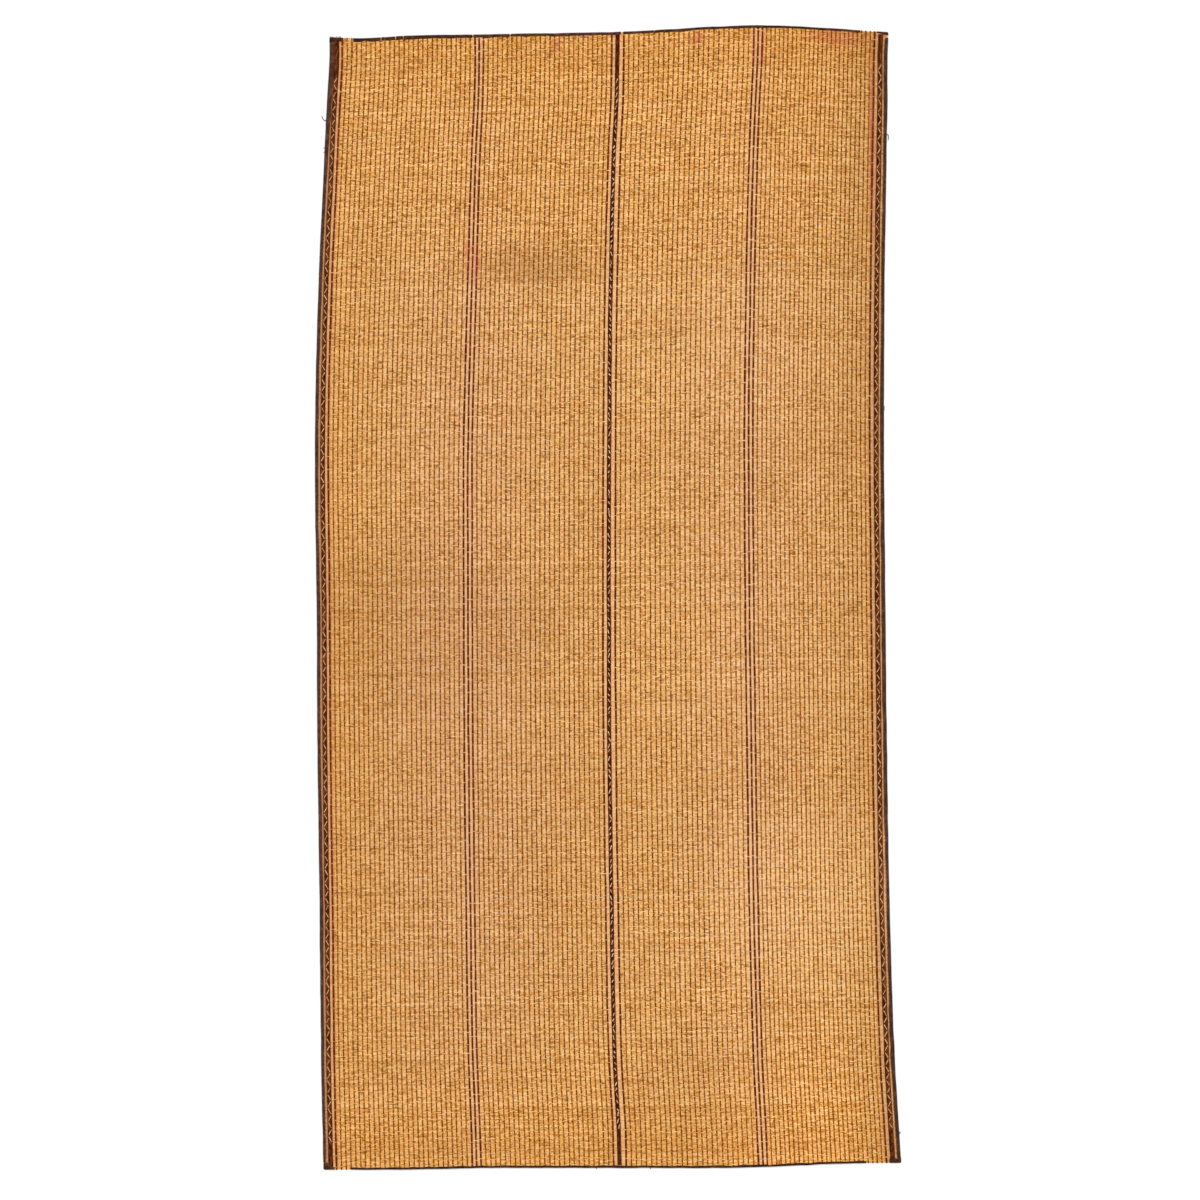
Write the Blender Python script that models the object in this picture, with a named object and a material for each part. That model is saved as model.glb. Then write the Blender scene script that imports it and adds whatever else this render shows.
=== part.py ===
"""Large reed and leather floor mat, lying flat with its best side up.

X runs across the mat, in line with its reeds. Y runs along its leather thongs. Z is up, and the mat lies on Z = 0.
A place on the mat is given as (across, along): across is the X that a thong has at mid-length, in metres, and along
runs from 0 at the near end to 1 at the far end. The mat's edges and thongs wander a little, as the tables below say.
"""

from collections import namedtuple

import bmesh
import bpy
from mathutils import Vector

MM = 0.001

# Heights of the layers, from the floor up.
CLEARANCE = 0.3 * MM
LEATHER = 1.2 * MM
UNDER_TRIM = LEATHER + CLEARANCE
REED_TOP = 4.8 * MM
ON_REEDS = REED_TOP + CLEARANCE
TRIM_TOP = ON_REEDS + LEATHER

# Leather that is woven through the reeds.
PLAIN_THONG_WIDTH = 5.0 * MM
PLAIN_THONG_HEIGHT = 1.2 * MM
PLAIN_THONG_SHOULDER = 0.9 * MM
DARK_THONG_WIDTH = 7.0 * MM
TRIPLE_SPACING = 18.6 * MM
CENTRE_BAND_WIDTH = 21.0 * MM
CENTRE_PAIR_OFFSET = 27.0 * MM

# The lighter thong that is laced from side to side over each border band.
LACE_PITCH = 61.0 * MM
LACE_SWING = 6.0 * MM
LACE_WIDTH = 4.0 * MM
LACE_RISE = 0.8 * MM
LACE_MARGIN = 130.0 * MM
STROKES_PER_BLOCK = 12

# Leather that is folded round the rim.
EDGE_INSET = LEATHER + CLEARANCE
REBATE = 13.5 * MM
SIDE_REBATE = 18.5 * MM
END_JOIN = 0.5 * MM

# How the edges and the main thongs lie at each section, from the near end to the far end.
Section = namedtuple("Section", "along left_edge left_triple centre right_triple right_edge")
SECTIONS = (
    Section(-2.482, -1.238, -0.570, 0.053, 0.676, 1.277),
    Section(-2.316, -1.242, -0.576, 0.049, 0.668, 1.266),
    Section(-1.968, -1.249, -0.589, 0.030, 0.651, 1.246),
    Section(-1.316, -1.255, -0.599, 0.017, 0.634, 1.225),
    Section(-0.663, -1.264, -0.606, 0.008, 0.624, 1.214),
    Section(0.0, -1.268, -0.609, 0.005, 0.616, 1.207),
    Section(0.642, -1.275, -0.609, 0.007, 0.612, 1.201),
    Section(1.294, -1.262, -0.594, 0.012, 0.618, 1.203),
    Section(1.947, -1.233, -0.574, 0.028, 0.633, 1.212),
    Section(2.164, -1.222, -0.563, 0.039, 0.642, 1.216),
    Section(2.338, -1.212, -0.560, 0.042, 0.651, 1.216),
    Section(2.438, -1.212, -0.560, 0.043, 0.654, 1.220),
)
MIDDLE = SECTIONS[5]
MAIN_LINES = Section._fields[1:]

# Where the last reeds lie, as the Y of the near and far rim at each share of the width.
Rim = namedtuple("Rim", "share near far")
RIMS = (
    Rim(0.00, -2.490, 2.438),
    Rim(0.06, -2.490, 2.434),
    Rim(0.14, -2.489, 2.445),
    Rim(0.30, -2.482, 2.452),
    Rim(0.53, -2.482, 2.463),
    Rim(0.69, -2.482, 2.485),
    Rim(0.78, -2.476, 2.490),
    Rim(0.90, -2.463, 2.476),
    Rim(1.00, -2.460, 2.460),
)

# The border on each long side, measured inwards from the outer edge.
Border = namedtuple("Border", "side outer inward binding band_middle band_width dark_thong")
BORDERS = (
    Border("left", MIDDLE.left_edge, 1, 15.0 * MM, 32.5 * MM, 21.0 * MM, 60.0 * MM),
    Border("right", MIDDLE.right_edge, -1, 17.0 * MM, 34.5 * MM, 22.0 * MM, 62.0 * MM),
)

# The leather folded over each end. Bare lengths of reed show between the corners and the long strip.
EndTrim = namedtuple("EndTrim", "name depth strip_left strip_right")
END_TRIMS = {
    "near": EndTrim("near", 10.0 * MM, 116.0 * MM, 150.0 * MM),
    "far": EndTrim("far", 12.0 * MM, 105.0 * MM, 127.0 * MM),
}
Corner = namedtuple("Corner", "end side reach depth")
CORNERS = (
    Corner("near", "left", 48.0 * MM, 12.0 * MM),
    Corner("near", "right", 50.0 * MM, 21.0 * MM),
    Corner("far", "left", 52.0 * MM, 13.0 * MM),
    Corner("far", "right", 52.0 * MM, 7.0 * MM),
)

# Rows along the mat at which the solids have points, and how many rows of thongs lie between coarse columns.
FIELD_ROWS = (0.09, 0.25, 0.42, 0.60, 0.77, 0.90)
THONGS_PER_COARSE_COLUMN = 7

# Thong ends that stand off the rim. Each path gives how far out from the rim and how far on from its root it goes.
LOOSE_THONG_WIDTH = 3.0 * MM
LOOSE_THONG_THICKNESS = 1.2 * MM
LOOSE_THONG_HEIGHT = 2.5 * MM
LooseEnd = namedtuple("LooseEnd", "side along path")
LOOSE_ENDS = (
    LooseEnd("left", 0.9264, ((0.6, 0.0), (4.0, 0.0), (10.0, 3.5), (15.5, 11.0), (18.5, 21.0))),
    LooseEnd("right", 0.9098, ((0.6, 0.0), (3.5, 0.0), (6.5, -6.0), (7.5, -15.0), (6.0, -25.0))),
)

# Colours, linear, as seen from a step away.
REED_COLOUR = (0.61, 0.31, 0.105, 1.0)
DARK_LEATHER_COLOUR = (0.110, 0.030, 0.010, 1.0)
RIM_LEATHER_COLOUR = (0.095, 0.042, 0.022, 1.0)
WOVEN_LEATHER_COLOUR = (0.150, 0.050, 0.020, 1.0)


def clear_scene():
    for obj in list(bpy.data.objects):
        bpy.data.objects.remove(obj, do_unlink=True)


def smooth_between(knots, values, at):
    """The value at a place between knots, on a smooth curve through all the values."""
    last = len(knots) - 1
    at = min(max(at, knots[0]), knots[-1])
    k = next(i for i in range(last) if at <= knots[i + 1])

    def slope(i):
        low, high = max(i - 1, 0), min(i + 1, last)
        return (values[high] - values[low]) / (knots[high] - knots[low])

    span = knots[k + 1] - knots[k]
    s = (at - knots[k]) / span
    rise = values[k + 1] - values[k]
    a = slope(k) * span - rise
    b = rise - slope(k + 1) * span
    return values[k] + s * rise + s * (1 - s) * ((1 - s) * a + s * b)


def evenly_between(first, last, count):
    return [first + (last - first) * (k + 1) / (count + 1) for k in range(count)]


def true_place(across, along):
    """The X and Y of a place on the mat, on the smooth curves through the tables."""
    share = (across - MIDDLE.left_edge) / (MIDDLE.right_edge - MIDDLE.left_edge)
    shares = [rim.share for rim in RIMS]
    near = smooth_between(shares, [rim.near for rim in RIMS], share)
    far = smooth_between(shares, [rim.far for rim in RIMS], share)
    y = near + (far - near) * along
    sections = [section.along for section in SECTIONS]
    at_middle = [getattr(MIDDLE, line) for line in MAIN_LINES]
    here = [smooth_between(sections, [getattr(s, line) for s in SECTIONS], y) for line in MAIN_LINES]
    k = next(i for i in range(len(here) - 1) if across <= at_middle[i + 1] or i == len(here) - 2)
    part = (across - at_middle[k]) / (at_middle[k + 1] - at_middle[k])
    return Vector((here[k] + (here[k + 1] - here[k]) * part, y))


# The dark thongs divide the reeds into four fields of plain ones.
LEFT_DARK = BORDERS[0].outer + BORDERS[0].dark_thong
RIGHT_DARK = BORDERS[1].outer - BORDERS[1].dark_thong
DARK_THONGS = (
    ("dark_thong_left_border", LEFT_DARK),
    ("dark_thong_left_outer", MIDDLE.left_triple - TRIPLE_SPACING),
    ("dark_thong_left_middle", MIDDLE.left_triple),
    ("dark_thong_left_inner", MIDDLE.left_triple + TRIPLE_SPACING),
    ("dark_thong_centre_left", MIDDLE.centre - CENTRE_PAIR_OFFSET),
    ("dark_thong_centre_right", MIDDLE.centre + CENTRE_PAIR_OFFSET),
    ("dark_thong_right_inner", MIDDLE.right_triple - TRIPLE_SPACING),
    ("dark_thong_right_middle", MIDDLE.right_triple),
    ("dark_thong_right_outer", MIDDLE.right_triple + TRIPLE_SPACING),
    ("dark_thong_right_border", RIGHT_DARK),
)
Field = namedtuple("Field", "first last thongs")
FIELDS = (
    Field(LEFT_DARK, MIDDLE.left_triple - TRIPLE_SPACING, 27),
    Field(MIDDLE.left_triple + TRIPLE_SPACING, MIDDLE.centre - CENTRE_PAIR_OFFSET, 26),
    Field(MIDDLE.centre + CENTRE_PAIR_OFFSET, MIDDLE.right_triple - TRIPLE_SPACING, 25),
    Field(MIDDLE.right_triple + TRIPLE_SPACING, RIGHT_DARK, 25),
)
MEAN_LENGTH = RIMS[4].far - RIMS[4].near


def along_from(end, distance):
    """The share along the mat that lies a distance inwards from one end."""
    return distance / MEAN_LENGTH if end == "near" else 1 - distance / MEAN_LENGTH


def coarse_columns():
    """Columns, clear of every plain thong, between which all the solids are straight."""
    columns = [MIDDLE.left_edge, MIDDLE.left_edge + SIDE_REBATE]
    columns += [MIDDLE.left_triple, MIDDLE.centre, MIDDLE.right_triple]
    columns += [MIDDLE.right_edge - SIDE_REBATE, MIDDLE.right_edge]
    for field in FIELDS:
        pitch = (field.last - field.first) / (field.thongs + 1)
        for thong in range(THONGS_PER_COARSE_COLUMN, field.thongs - 2, THONGS_PER_COARSE_COLUMN):
            columns.append(field.first + pitch * (thong + 0.5))
    return sorted(columns)


COLUMNS = coarse_columns()
ROWS = [0.0, along_from("near", REBATE), *FIELD_ROWS, along_from("far", REBATE), 1.0]
GRID = [[true_place(across, along) for along in ROWS] for across in COLUMNS]


def cell_of(lines, at):
    """The number of the cell between lines that holds a place, and how far into it the place is."""
    k = max(i for i in range(len(lines) - 1) if lines[i] <= at or i == 0)
    return k, (at - lines[k]) / (lines[k + 1] - lines[k])


def place(across, along, height):
    """A point of a solid. All solids bend at the same columns and rows, so that their gaps stay even."""
    i, s = cell_of(COLUMNS, across)
    j, t = cell_of(ROWS, along)
    near = GRID[i][j].lerp(GRID[i + 1][j], s)
    far = GRID[i][j + 1].lerp(GRID[i + 1][j + 1], s)
    here = near.lerp(far, t)
    return Vector((here.x, here.y, height))


class Skin:
    """Gathers the faces of one solid by their corners, then makes it an object."""

    def __init__(self):
        self.mesh = bmesh.new()
        self.points = {}

    def point(self, across, along, height):
        key = (round(across, 7), round(along, 9), round(height, 7))
        if key not in self.points:
            self.points[key] = self.mesh.verts.new(place(across, along, height))
        return self.points[key]

    def face(self, *corners):
        self.mesh.faces.new([self.point(*corner) for corner in corners])

    def finish(self, name, material):
        bmesh.ops.recalc_face_normals(self.mesh, faces=self.mesh.faces)
        return object_from(self.mesh, name, material)


def object_from(mesh, name, material):
    data = bpy.data.meshes.new(name)
    mesh.to_mesh(data)
    mesh.free()
    data.materials.append(material)
    obj = bpy.data.objects.new(name, data)
    obj.parent = bpy.data.objects["mat"]
    bpy.context.scene.collection.objects.link(obj)
    return obj


def leather_or_reed(name, colour, roughness):
    material = bpy.data.materials.new(name)
    material.use_nodes = True
    shader = material.node_tree.nodes["Principled BSDF"]
    shader.inputs["Base Color"].default_value = colour
    shader.inputs["Roughness"].default_value = roughness
    shader.inputs["Metallic"].default_value = 0.0
    return material


def lines_within(lines, first, last):
    """The given first and last line, with those of the shared lines that lie between them."""
    return [first, *(line for line in lines if first + 0.1 * MM < line < last - 0.1 * MM), last]


def folded_solid(name, material, across, along, heights, filled):
    """A solid of cells between three sets of lines. filled says whether the cell (i, j, k) is leather."""
    skin = Skin()
    size = (len(across) - 1, len(along) - 1, len(heights) - 1)
    lines = (across, along, heights)

    def is_solid(cell):
        return all(0 <= cell[axis] < size[axis] for axis in range(3)) and filled(*cell)

    def corner(cell, axis, side, second, third):
        at = list(cell)
        at[axis] += side
        at[(axis + 1) % 3] += second
        at[(axis + 2) % 3] += third
        return tuple(lines[n][at[n]] for n in range(3))

    for i in range(size[0]):
        for j in range(size[1]):
            for k in range(size[2]):
                cell = (i, j, k)
                if not is_solid(cell):
                    continue
                for axis in range(3):
                    for side in (0, 1):
                        beside = list(cell)
                        beside[axis] += 2 * side - 1
                        if not is_solid(tuple(beside)):
                            turns = ((0, 0), (1, 0), (1, 1), (0, 1))
                            skin.face(*(corner(cell, axis, side, *turn) for turn in turns))
    return skin.finish(name, material)


def flat_strip(name, material, middle, width, first, last):
    """A strip of leather that lies on the reeds and runs along the mat."""
    across = (middle - width / 2, middle + width / 2)
    rows = lines_within(ROWS, first, last)
    return folded_solid(name, material, across, rows, (ON_REEDS, TRIM_TOP), lambda i, j, k: True)


def field_columns():
    """(across, height) of the field's top points from left to right, with each plain thong as a low rib."""
    left = MIDDLE.left_edge + EDGE_INSET
    right = MIDDLE.right_edge - EDGE_INSET
    columns = [(left, REED_TOP), (right, REED_TOP)]
    columns += [(across, REED_TOP) for across in COLUMNS[1:-1]]
    half = PLAIN_THONG_WIDTH / 2
    for field in FIELDS:
        for middle in evenly_between(*field):
            columns.append((middle - half, REED_TOP))
            columns.append((middle - half + PLAIN_THONG_SHOULDER, REED_TOP + PLAIN_THONG_HEIGHT))
            columns.append((middle + half - PLAIN_THONG_SHOULDER, REED_TOP + PLAIN_THONG_HEIGHT))
            columns.append((middle + half, REED_TOP))
    return sorted(columns)


def reed_panel(material):
    """The reeds with their plain thongs. Its underside is flat, and thinner round the rim, where leather wraps it."""
    skin = Skin()
    top = field_columns()
    coarse = [top[0][0], *COLUMNS[1:-1], top[-1][0]]
    outer = (along_from("near", EDGE_INSET), along_from("far", EDGE_INSET))
    inner = ROWS[1:-1]
    rows = [outer[0], *inner, outer[1]]

    for (a, a_height), (b, b_height) in zip(top, top[1:]):
        for low, high in zip(inner, inner[1:]):
            skin.face((a, low, a_height), (b, low, b_height), (b, high, b_height), (a, high, a_height))

    for rim, shelf in ((outer[0], inner[0]), (outer[1], inner[-1])):
        raised = [k for k, (_, height) in enumerate(top) if height > REED_TOP]
        for k in raised[::2]:
            skin.face(*((across, shelf, height) for across, height in top[k - 1 : k + 3]))
        for a, b in zip(coarse, coarse[1:]):
            chain = [across for across, height in top if a <= across <= b and height == REED_TOP]
            inside = [(across, shelf, REED_TOP) for across in reversed(chain)]
            skin.face((a, rim, REED_TOP), (b, rim, REED_TOP), *inside)
            skin.face((a, rim, REED_TOP), (b, rim, REED_TOP), (b, rim, UNDER_TRIM), (a, rim, UNDER_TRIM))

    for side in (coarse[0], coarse[-1]):
        for low, high in zip(rows, rows[1:]):
            skin.face((side, low, REED_TOP), (side, high, REED_TOP), (side, high, UNDER_TRIM), (side, low, UNDER_TRIM))

    for i, (a, b) in enumerate(zip(coarse, coarse[1:])):
        for j, (low, high) in enumerate(zip(rows, rows[1:])):
            at_rim = i in (0, len(coarse) - 2) or j in (0, len(rows) - 2)
            height = UNDER_TRIM if at_rim else 0.0
            skin.face((a, low, height), (b, low, height), (b, high, height), (a, high, height))

    for side in (coarse[1], coarse[-2]):
        for low, high in zip(inner, inner[1:]):
            skin.face((side, low, 0.0), (side, high, 0.0), (side, high, UNDER_TRIM), (side, low, UNDER_TRIM))
    for shelf in (inner[0], inner[-1]):
        for a, b in zip(coarse[1:-1], coarse[2:-1]):
            skin.face((a, shelf, 0.0), (b, shelf, 0.0), (b, shelf, UNDER_TRIM), (a, shelf, UNDER_TRIM))
    return skin.finish("reed_panel", material)


def corner_depth(end, side):
    return next(corner.depth for corner in CORNERS if (corner.end, corner.side) == (end, side))


def between_corners(side):
    """Where a side's binding and band start and stop, just short of the corner wraps."""
    near = along_from("near", corner_depth("near", side) + END_JOIN)
    far = along_from("far", corner_depth("far", side) + END_JOIN)
    return near, far


def laced_band(border, material):
    """A border band of dark leather. The thong laced over it is a low ridge that zigzags in its top face."""
    skin = Skin()
    middle = border.outer + border.inward * border.band_middle
    left, right = middle - border.band_width / 2, middle + border.band_width / 2
    first, last = between_corners(border.side)
    begin, end = along_from("near", LACE_MARGIN), along_from("far", LACE_MARGIN)
    strokes = 2 * round((end - begin) * MEAN_LENGTH / LACE_PITCH)
    rows = [begin + (end - begin) * k / strokes for k in range(strokes + 1)]

    def across_top(row):
        lace = middle + LACE_SWING * (-1) ** rows.index(row)
        crest = (lace, row, TRIM_TOP + LACE_RISE)
        feet = [(lace + side * LACE_WIDTH / 2, row, TRIM_TOP) for side in (-1, 1)]
        return [(left, row, TRIM_TOP), feet[0], crest, feet[1], (right, row, TRIM_TOP)]

    for low, high in zip(rows, rows[1:]):
        near, far = across_top(low), across_top(high)
        for k in range(len(near) - 1):
            skin.face(near[k], near[k + 1], far[k + 1], far[k])
    for rim, row in ((first, rows[0]), (last, rows[-1])):
        edge_left, foot_left, crest, foot_right, edge_right = across_top(row)
        skin.face(foot_left, crest, foot_right)
        skin.face((left, rim, TRIM_TOP), (right, rim, TRIM_TOP), edge_right, foot_right, foot_left, edge_left)
        skin.face((left, rim, TRIM_TOP), (right, rim, TRIM_TOP), (right, rim, ON_REEDS), (left, rim, ON_REEDS))

    blocks = [first, *rows[:-1:STROKES_PER_BLOCK], rows[-1], last]
    for low, high in zip(blocks, blocks[1:]):
        skin.face((left, low, ON_REEDS), (right, low, ON_REEDS), (right, high, ON_REEDS), (left, high, ON_REEDS))
        chain = [row for row in (last, *reversed(rows), first) if low <= row <= high]
        for side in (left, right):
            top = [(side, row, TRIM_TOP) for row in chain]
            skin.face((side, low, ON_REEDS), (side, high, ON_REEDS), *top)
    return skin.finish("woven_band_" + border.side, material)


def side_binding(border, material):
    """Leather folded over the reed ends, from the top round to the underside."""
    lines = (0.0, LEATHER, border.binding)
    across = sorted(border.outer + border.inward * line for line in lines)
    wall = 0 if border.inward == 1 else 1
    rows = lines_within(ROWS, *between_corners(border.side))
    heights = (0.0, LEATHER, ON_REEDS, TRIM_TOP)
    name = "side_binding_" + border.side
    return folded_solid(name, material, across, rows, heights, lambda i, j, k: k != 1 or i == wall)


def end_binding(trim, material):
    """Leather folded over the last reeds of one end."""
    across = lines_within(COLUMNS, MIDDLE.left_edge + trim.strip_left, MIDDLE.right_edge - trim.strip_right)
    along = sorted(along_from(trim.name, line) for line in (0.0, LEATHER, trim.depth))
    wall = 0 if trim.name == "near" else 1
    heights = (0.0, LEATHER, ON_REEDS, TRIM_TOP)
    name = "end_binding_" + trim.name
    return folded_solid(name, material, across, along, heights, lambda i, j, k: k != 1 or j == wall)


def corner_wrap(corner, material):
    """A short piece of leather folded over a corner, past the border band."""
    border = next(border for border in BORDERS if border.side == corner.side)
    across = [border.outer + border.inward * line for line in (0.0, LEATHER, corner.reach)]
    under = min(corner.depth, REBATE - END_JOIN)
    steps = [0.0, LEATHER, under] + [corner.depth] * (corner.depth > REBATE)
    along = [along_from(corner.end, line) for line in steps]
    heights = (0.0, LEATHER, ON_REEDS, TRIM_TOP)

    def filled(i, j, k):
        i = i if border.inward == 1 else len(across) - 2 - i
        j = j if corner.end == "near" else len(along) - 2 - j
        if k == 2:
            return True
        return j < 2 if k == 0 else j < 2 and 0 in (i, j)

    name = "corner_wrap_" + corner.end + "_" + corner.side
    return folded_solid(name, material, sorted(across), sorted(along), heights, filled)


def loose_end(end, material):
    """A thong end that stands off the rim, as a flat strip along its path."""
    border = next(border for border in BORDERS if border.side == end.side)
    root = place(border.outer, end.along, LOOSE_THONG_HEIGHT)
    middle = [root + Vector((-border.inward * out, on, 0.0)) * MM for out, on in end.path]
    mesh = bmesh.new()
    rings = []
    for k, here in enumerate(middle):
        run = middle[min(k + 1, len(middle) - 1)] - middle[max(k - 1, 0)]
        side = run.cross(Vector((0, 0, 1))).normalized() * LOOSE_THONG_WIDTH / 2
        rise = Vector((0, 0, LOOSE_THONG_THICKNESS / 2))
        corners = (here - side - rise, here + side - rise, here + side + rise, here - side + rise)
        rings.append([mesh.verts.new(corner) for corner in corners])
    for low, high in zip(rings, rings[1:]):
        for k in range(4):
            mesh.faces.new((low[k], low[(k + 1) % 4], high[(k + 1) % 4], high[k]))
    mesh.faces.new(rings[0])
    mesh.faces.new(rings[-1])
    bmesh.ops.recalc_face_normals(mesh, faces=mesh.faces)
    return object_from(mesh, "loose_end_" + end.side, material)


def build_mat():
    clear_scene()
    mat = bpy.data.objects.new("mat", None)
    bpy.context.scene.collection.objects.link(mat)
    reed = leather_or_reed("reed", REED_COLOUR, 0.6)
    dark_leather = leather_or_reed("dark_leather", DARK_LEATHER_COLOUR, 0.55)
    rim_leather = leather_or_reed("rim_leather", RIM_LEATHER_COLOUR, 0.6)
    woven_leather = leather_or_reed("woven_leather", WOVEN_LEATHER_COLOUR, 0.55)

    reed_panel(reed)
    past_trim = {end: trim.depth + END_JOIN for end, trim in END_TRIMS.items()}
    first = along_from("near", past_trim["near"])
    last = along_from("far", past_trim["far"])
    for name, middle in DARK_THONGS:
        if name.endswith("border"):
            rim = (along_from("near", EDGE_INSET), along_from("far", EDGE_INSET))
            flat_strip(name, dark_leather, middle, DARK_THONG_WIDTH, *rim)
        else:
            flat_strip(name, dark_leather, middle, DARK_THONG_WIDTH, first, last)
    flat_strip("woven_band_centre", woven_leather, MIDDLE.centre, CENTRE_BAND_WIDTH, first, last)
    for border in BORDERS:
        laced_band(border, woven_leather)
        side_binding(border, rim_leather)
    for trim in END_TRIMS.values():
        end_binding(trim, rim_leather)
    for corner in CORNERS:
        corner_wrap(corner, rim_leather)
    for end in LOOSE_ENDS:
        loose_end(end, rim_leather)
    bpy.context.view_layer.update()


build_mat()
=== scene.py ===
from collections import namedtuple

import bpy
import numpy as np
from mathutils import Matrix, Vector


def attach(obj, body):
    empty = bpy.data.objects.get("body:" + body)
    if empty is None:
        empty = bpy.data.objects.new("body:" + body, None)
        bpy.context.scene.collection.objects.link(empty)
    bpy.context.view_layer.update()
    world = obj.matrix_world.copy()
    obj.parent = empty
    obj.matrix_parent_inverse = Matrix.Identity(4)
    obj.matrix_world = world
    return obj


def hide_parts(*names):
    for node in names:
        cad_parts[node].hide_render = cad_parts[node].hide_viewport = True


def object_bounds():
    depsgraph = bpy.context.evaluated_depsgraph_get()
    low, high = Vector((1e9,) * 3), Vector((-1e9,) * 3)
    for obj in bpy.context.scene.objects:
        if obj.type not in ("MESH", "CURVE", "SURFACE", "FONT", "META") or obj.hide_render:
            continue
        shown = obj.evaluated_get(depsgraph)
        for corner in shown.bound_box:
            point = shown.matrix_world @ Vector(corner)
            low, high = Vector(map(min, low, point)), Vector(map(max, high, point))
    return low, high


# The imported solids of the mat. X runs across it, in line with its reeds, and Y along its leather thongs.
# It lies on Z = 0 with its best side up. All sizes here are in metres.
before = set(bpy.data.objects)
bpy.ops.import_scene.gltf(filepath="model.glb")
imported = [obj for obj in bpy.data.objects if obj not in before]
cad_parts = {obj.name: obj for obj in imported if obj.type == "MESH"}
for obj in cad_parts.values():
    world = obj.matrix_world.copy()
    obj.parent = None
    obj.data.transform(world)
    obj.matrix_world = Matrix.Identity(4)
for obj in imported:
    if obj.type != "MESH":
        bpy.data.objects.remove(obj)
cad_low, cad_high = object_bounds()
scene = bpy.context.scene
MM = 0.001

# The camera hangs straight above the mat with a long lens, as it did for the photograph. The square frame
# is 5.22 m on a side, and its middle lies a little to the left of the mat's own.
FRAME_SIDE = 5.22
FRAME_MIDDLE = (-0.0345, -0.0109)
lens = bpy.data.cameras.new("camera")
lens.lens = 85.0
lens.sensor_width = 36.0
lens.clip_end = 100.0
camera = bpy.data.objects.new("camera", lens)
camera.location = (*FRAME_MIDDLE, cad_high.z + FRAME_SIDE * lens.lens / lens.sensor_width)
scene.collection.objects.link(camera)
scene.camera = camera

# The floor is one plain pale surface, far wider than the mat, which takes only the mat's soft shadow.
# It isn't part of the object.
FLOOR_HALF = 40.0
FLOOR_SQUARE = ((-1, -1), (1, -1), (1, 1), (-1, 1))
FLOOR_GAP = 0.2 * MM
floor_mesh = bpy.data.meshes.new("floor")
floor_corners = [(x * FLOOR_HALF, y * FLOOR_HALF, -FLOOR_GAP) for x, y in FLOOR_SQUARE]
floor_mesh.from_pydata(floor_corners, [], [(0, 1, 2, 3)])
floor_paint = bpy.data.materials.new("pale_floor")
floor_paint.use_nodes = True
floor_shader = floor_paint.node_tree.nodes["Principled BSDF"]
floor_shader.inputs["Base Color"].default_value = (0.86, 0.86, 0.86, 1.0)
floor_shader.inputs["Roughness"].default_value = 0.9
floor_shader.inputs["Specular IOR Level"].default_value = 0.1
floor_mesh.materials.append(floor_paint)
floor = bpy.data.objects.new("floor", floor_mesh)
scene.collection.objects.link(floor)

# The studio light is an even white surround with one very soft lamp from the upper left, so that the weave
# shows its relief while the mat has almost no shadow.
SURROUND = 0.86
LAMP = 1.9
LAMP_WIDTH = 24.0
LAMP_TILT = (-38.0, -24.0)
studio = bpy.data.worlds.new("studio")
studio.use_nodes = True
studio.node_tree.nodes["Background"].inputs["Color"].default_value = (1.0, 1.0, 1.0, 1.0)
studio.node_tree.nodes["Background"].inputs["Strength"].default_value = SURROUND
scene.world = studio
lamp = bpy.data.lights.new("lamp", "SUN")
lamp.energy = LAMP
lamp.angle = np.radians(LAMP_WIDTH)
lamp_stand = bpy.data.objects.new("lamp", lamp)
lamp_stand.rotation_euler = (*np.radians(LAMP_TILT), 0.0)
scene.collection.objects.link(lamp_stand)
scene.view_settings.view_transform = "Standard"

# The reeds: some thirteen hundred dry stems, each as long as the mat is wide, laid side by side across it.
# They differ in width and lie a little unevenly, and the leather woven through them is all that holds them.
Section = namedtuple("Section", "along left_edge left_triple centre right_triple right_edge")
SECTIONS = (
    Section(-2.482, -1.238, -0.570, 0.053, 0.676, 1.277),
    Section(-2.316, -1.242, -0.576, 0.049, 0.668, 1.266),
    Section(-1.968, -1.249, -0.589, 0.030, 0.651, 1.246),
    Section(-1.316, -1.255, -0.599, 0.017, 0.634, 1.225),
    Section(-0.663, -1.264, -0.606, 0.008, 0.624, 1.214),
    Section(0.0, -1.268, -0.609, 0.005, 0.616, 1.207),
    Section(0.642, -1.275, -0.609, 0.007, 0.612, 1.201),
    Section(1.294, -1.262, -0.594, 0.012, 0.618, 1.203),
    Section(1.947, -1.233, -0.574, 0.028, 0.633, 1.212),
    Section(2.164, -1.222, -0.563, 0.039, 0.642, 1.216),
    Section(2.338, -1.212, -0.560, 0.042, 0.651, 1.216),
    Section(2.438, -1.212, -0.560, 0.043, 0.654, 1.220),
)
MIDDLE = SECTIONS[5]
Rim = namedtuple("Rim", "share near far")
RIMS = (
    Rim(0.00, -2.490, 2.438),
    Rim(0.06, -2.490, 2.434),
    Rim(0.14, -2.489, 2.445),
    Rim(0.30, -2.482, 2.452),
    Rim(0.53, -2.482, 2.463),
    Rim(0.69, -2.482, 2.485),
    Rim(0.78, -2.476, 2.490),
    Rim(0.90, -2.463, 2.476),
    Rim(1.00, -2.460, 2.460),
)
MEAN_LENGTH = RIMS[4].far - RIMS[4].near
Border = namedtuple("Border", "side outer inward binding band_middle band_width dark_thong far_swell")
BORDERS = (
    Border("left", MIDDLE.left_edge, 1, 14.5 * MM, 32.5 * MM, 21 * MM, 57 * MM, 8 * MM),
    Border("right", MIDDLE.right_edge, -1, 16 * MM, 34 * MM, 22 * MM, 62 * MM, 0.0),
)
LEFT_DARK = BORDERS[0].outer + BORDERS[0].dark_thong
RIGHT_DARK = BORDERS[1].outer - BORDERS[1].dark_thong
REED_COUNT = 1290
REED_BLOCKS = 6
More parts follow.
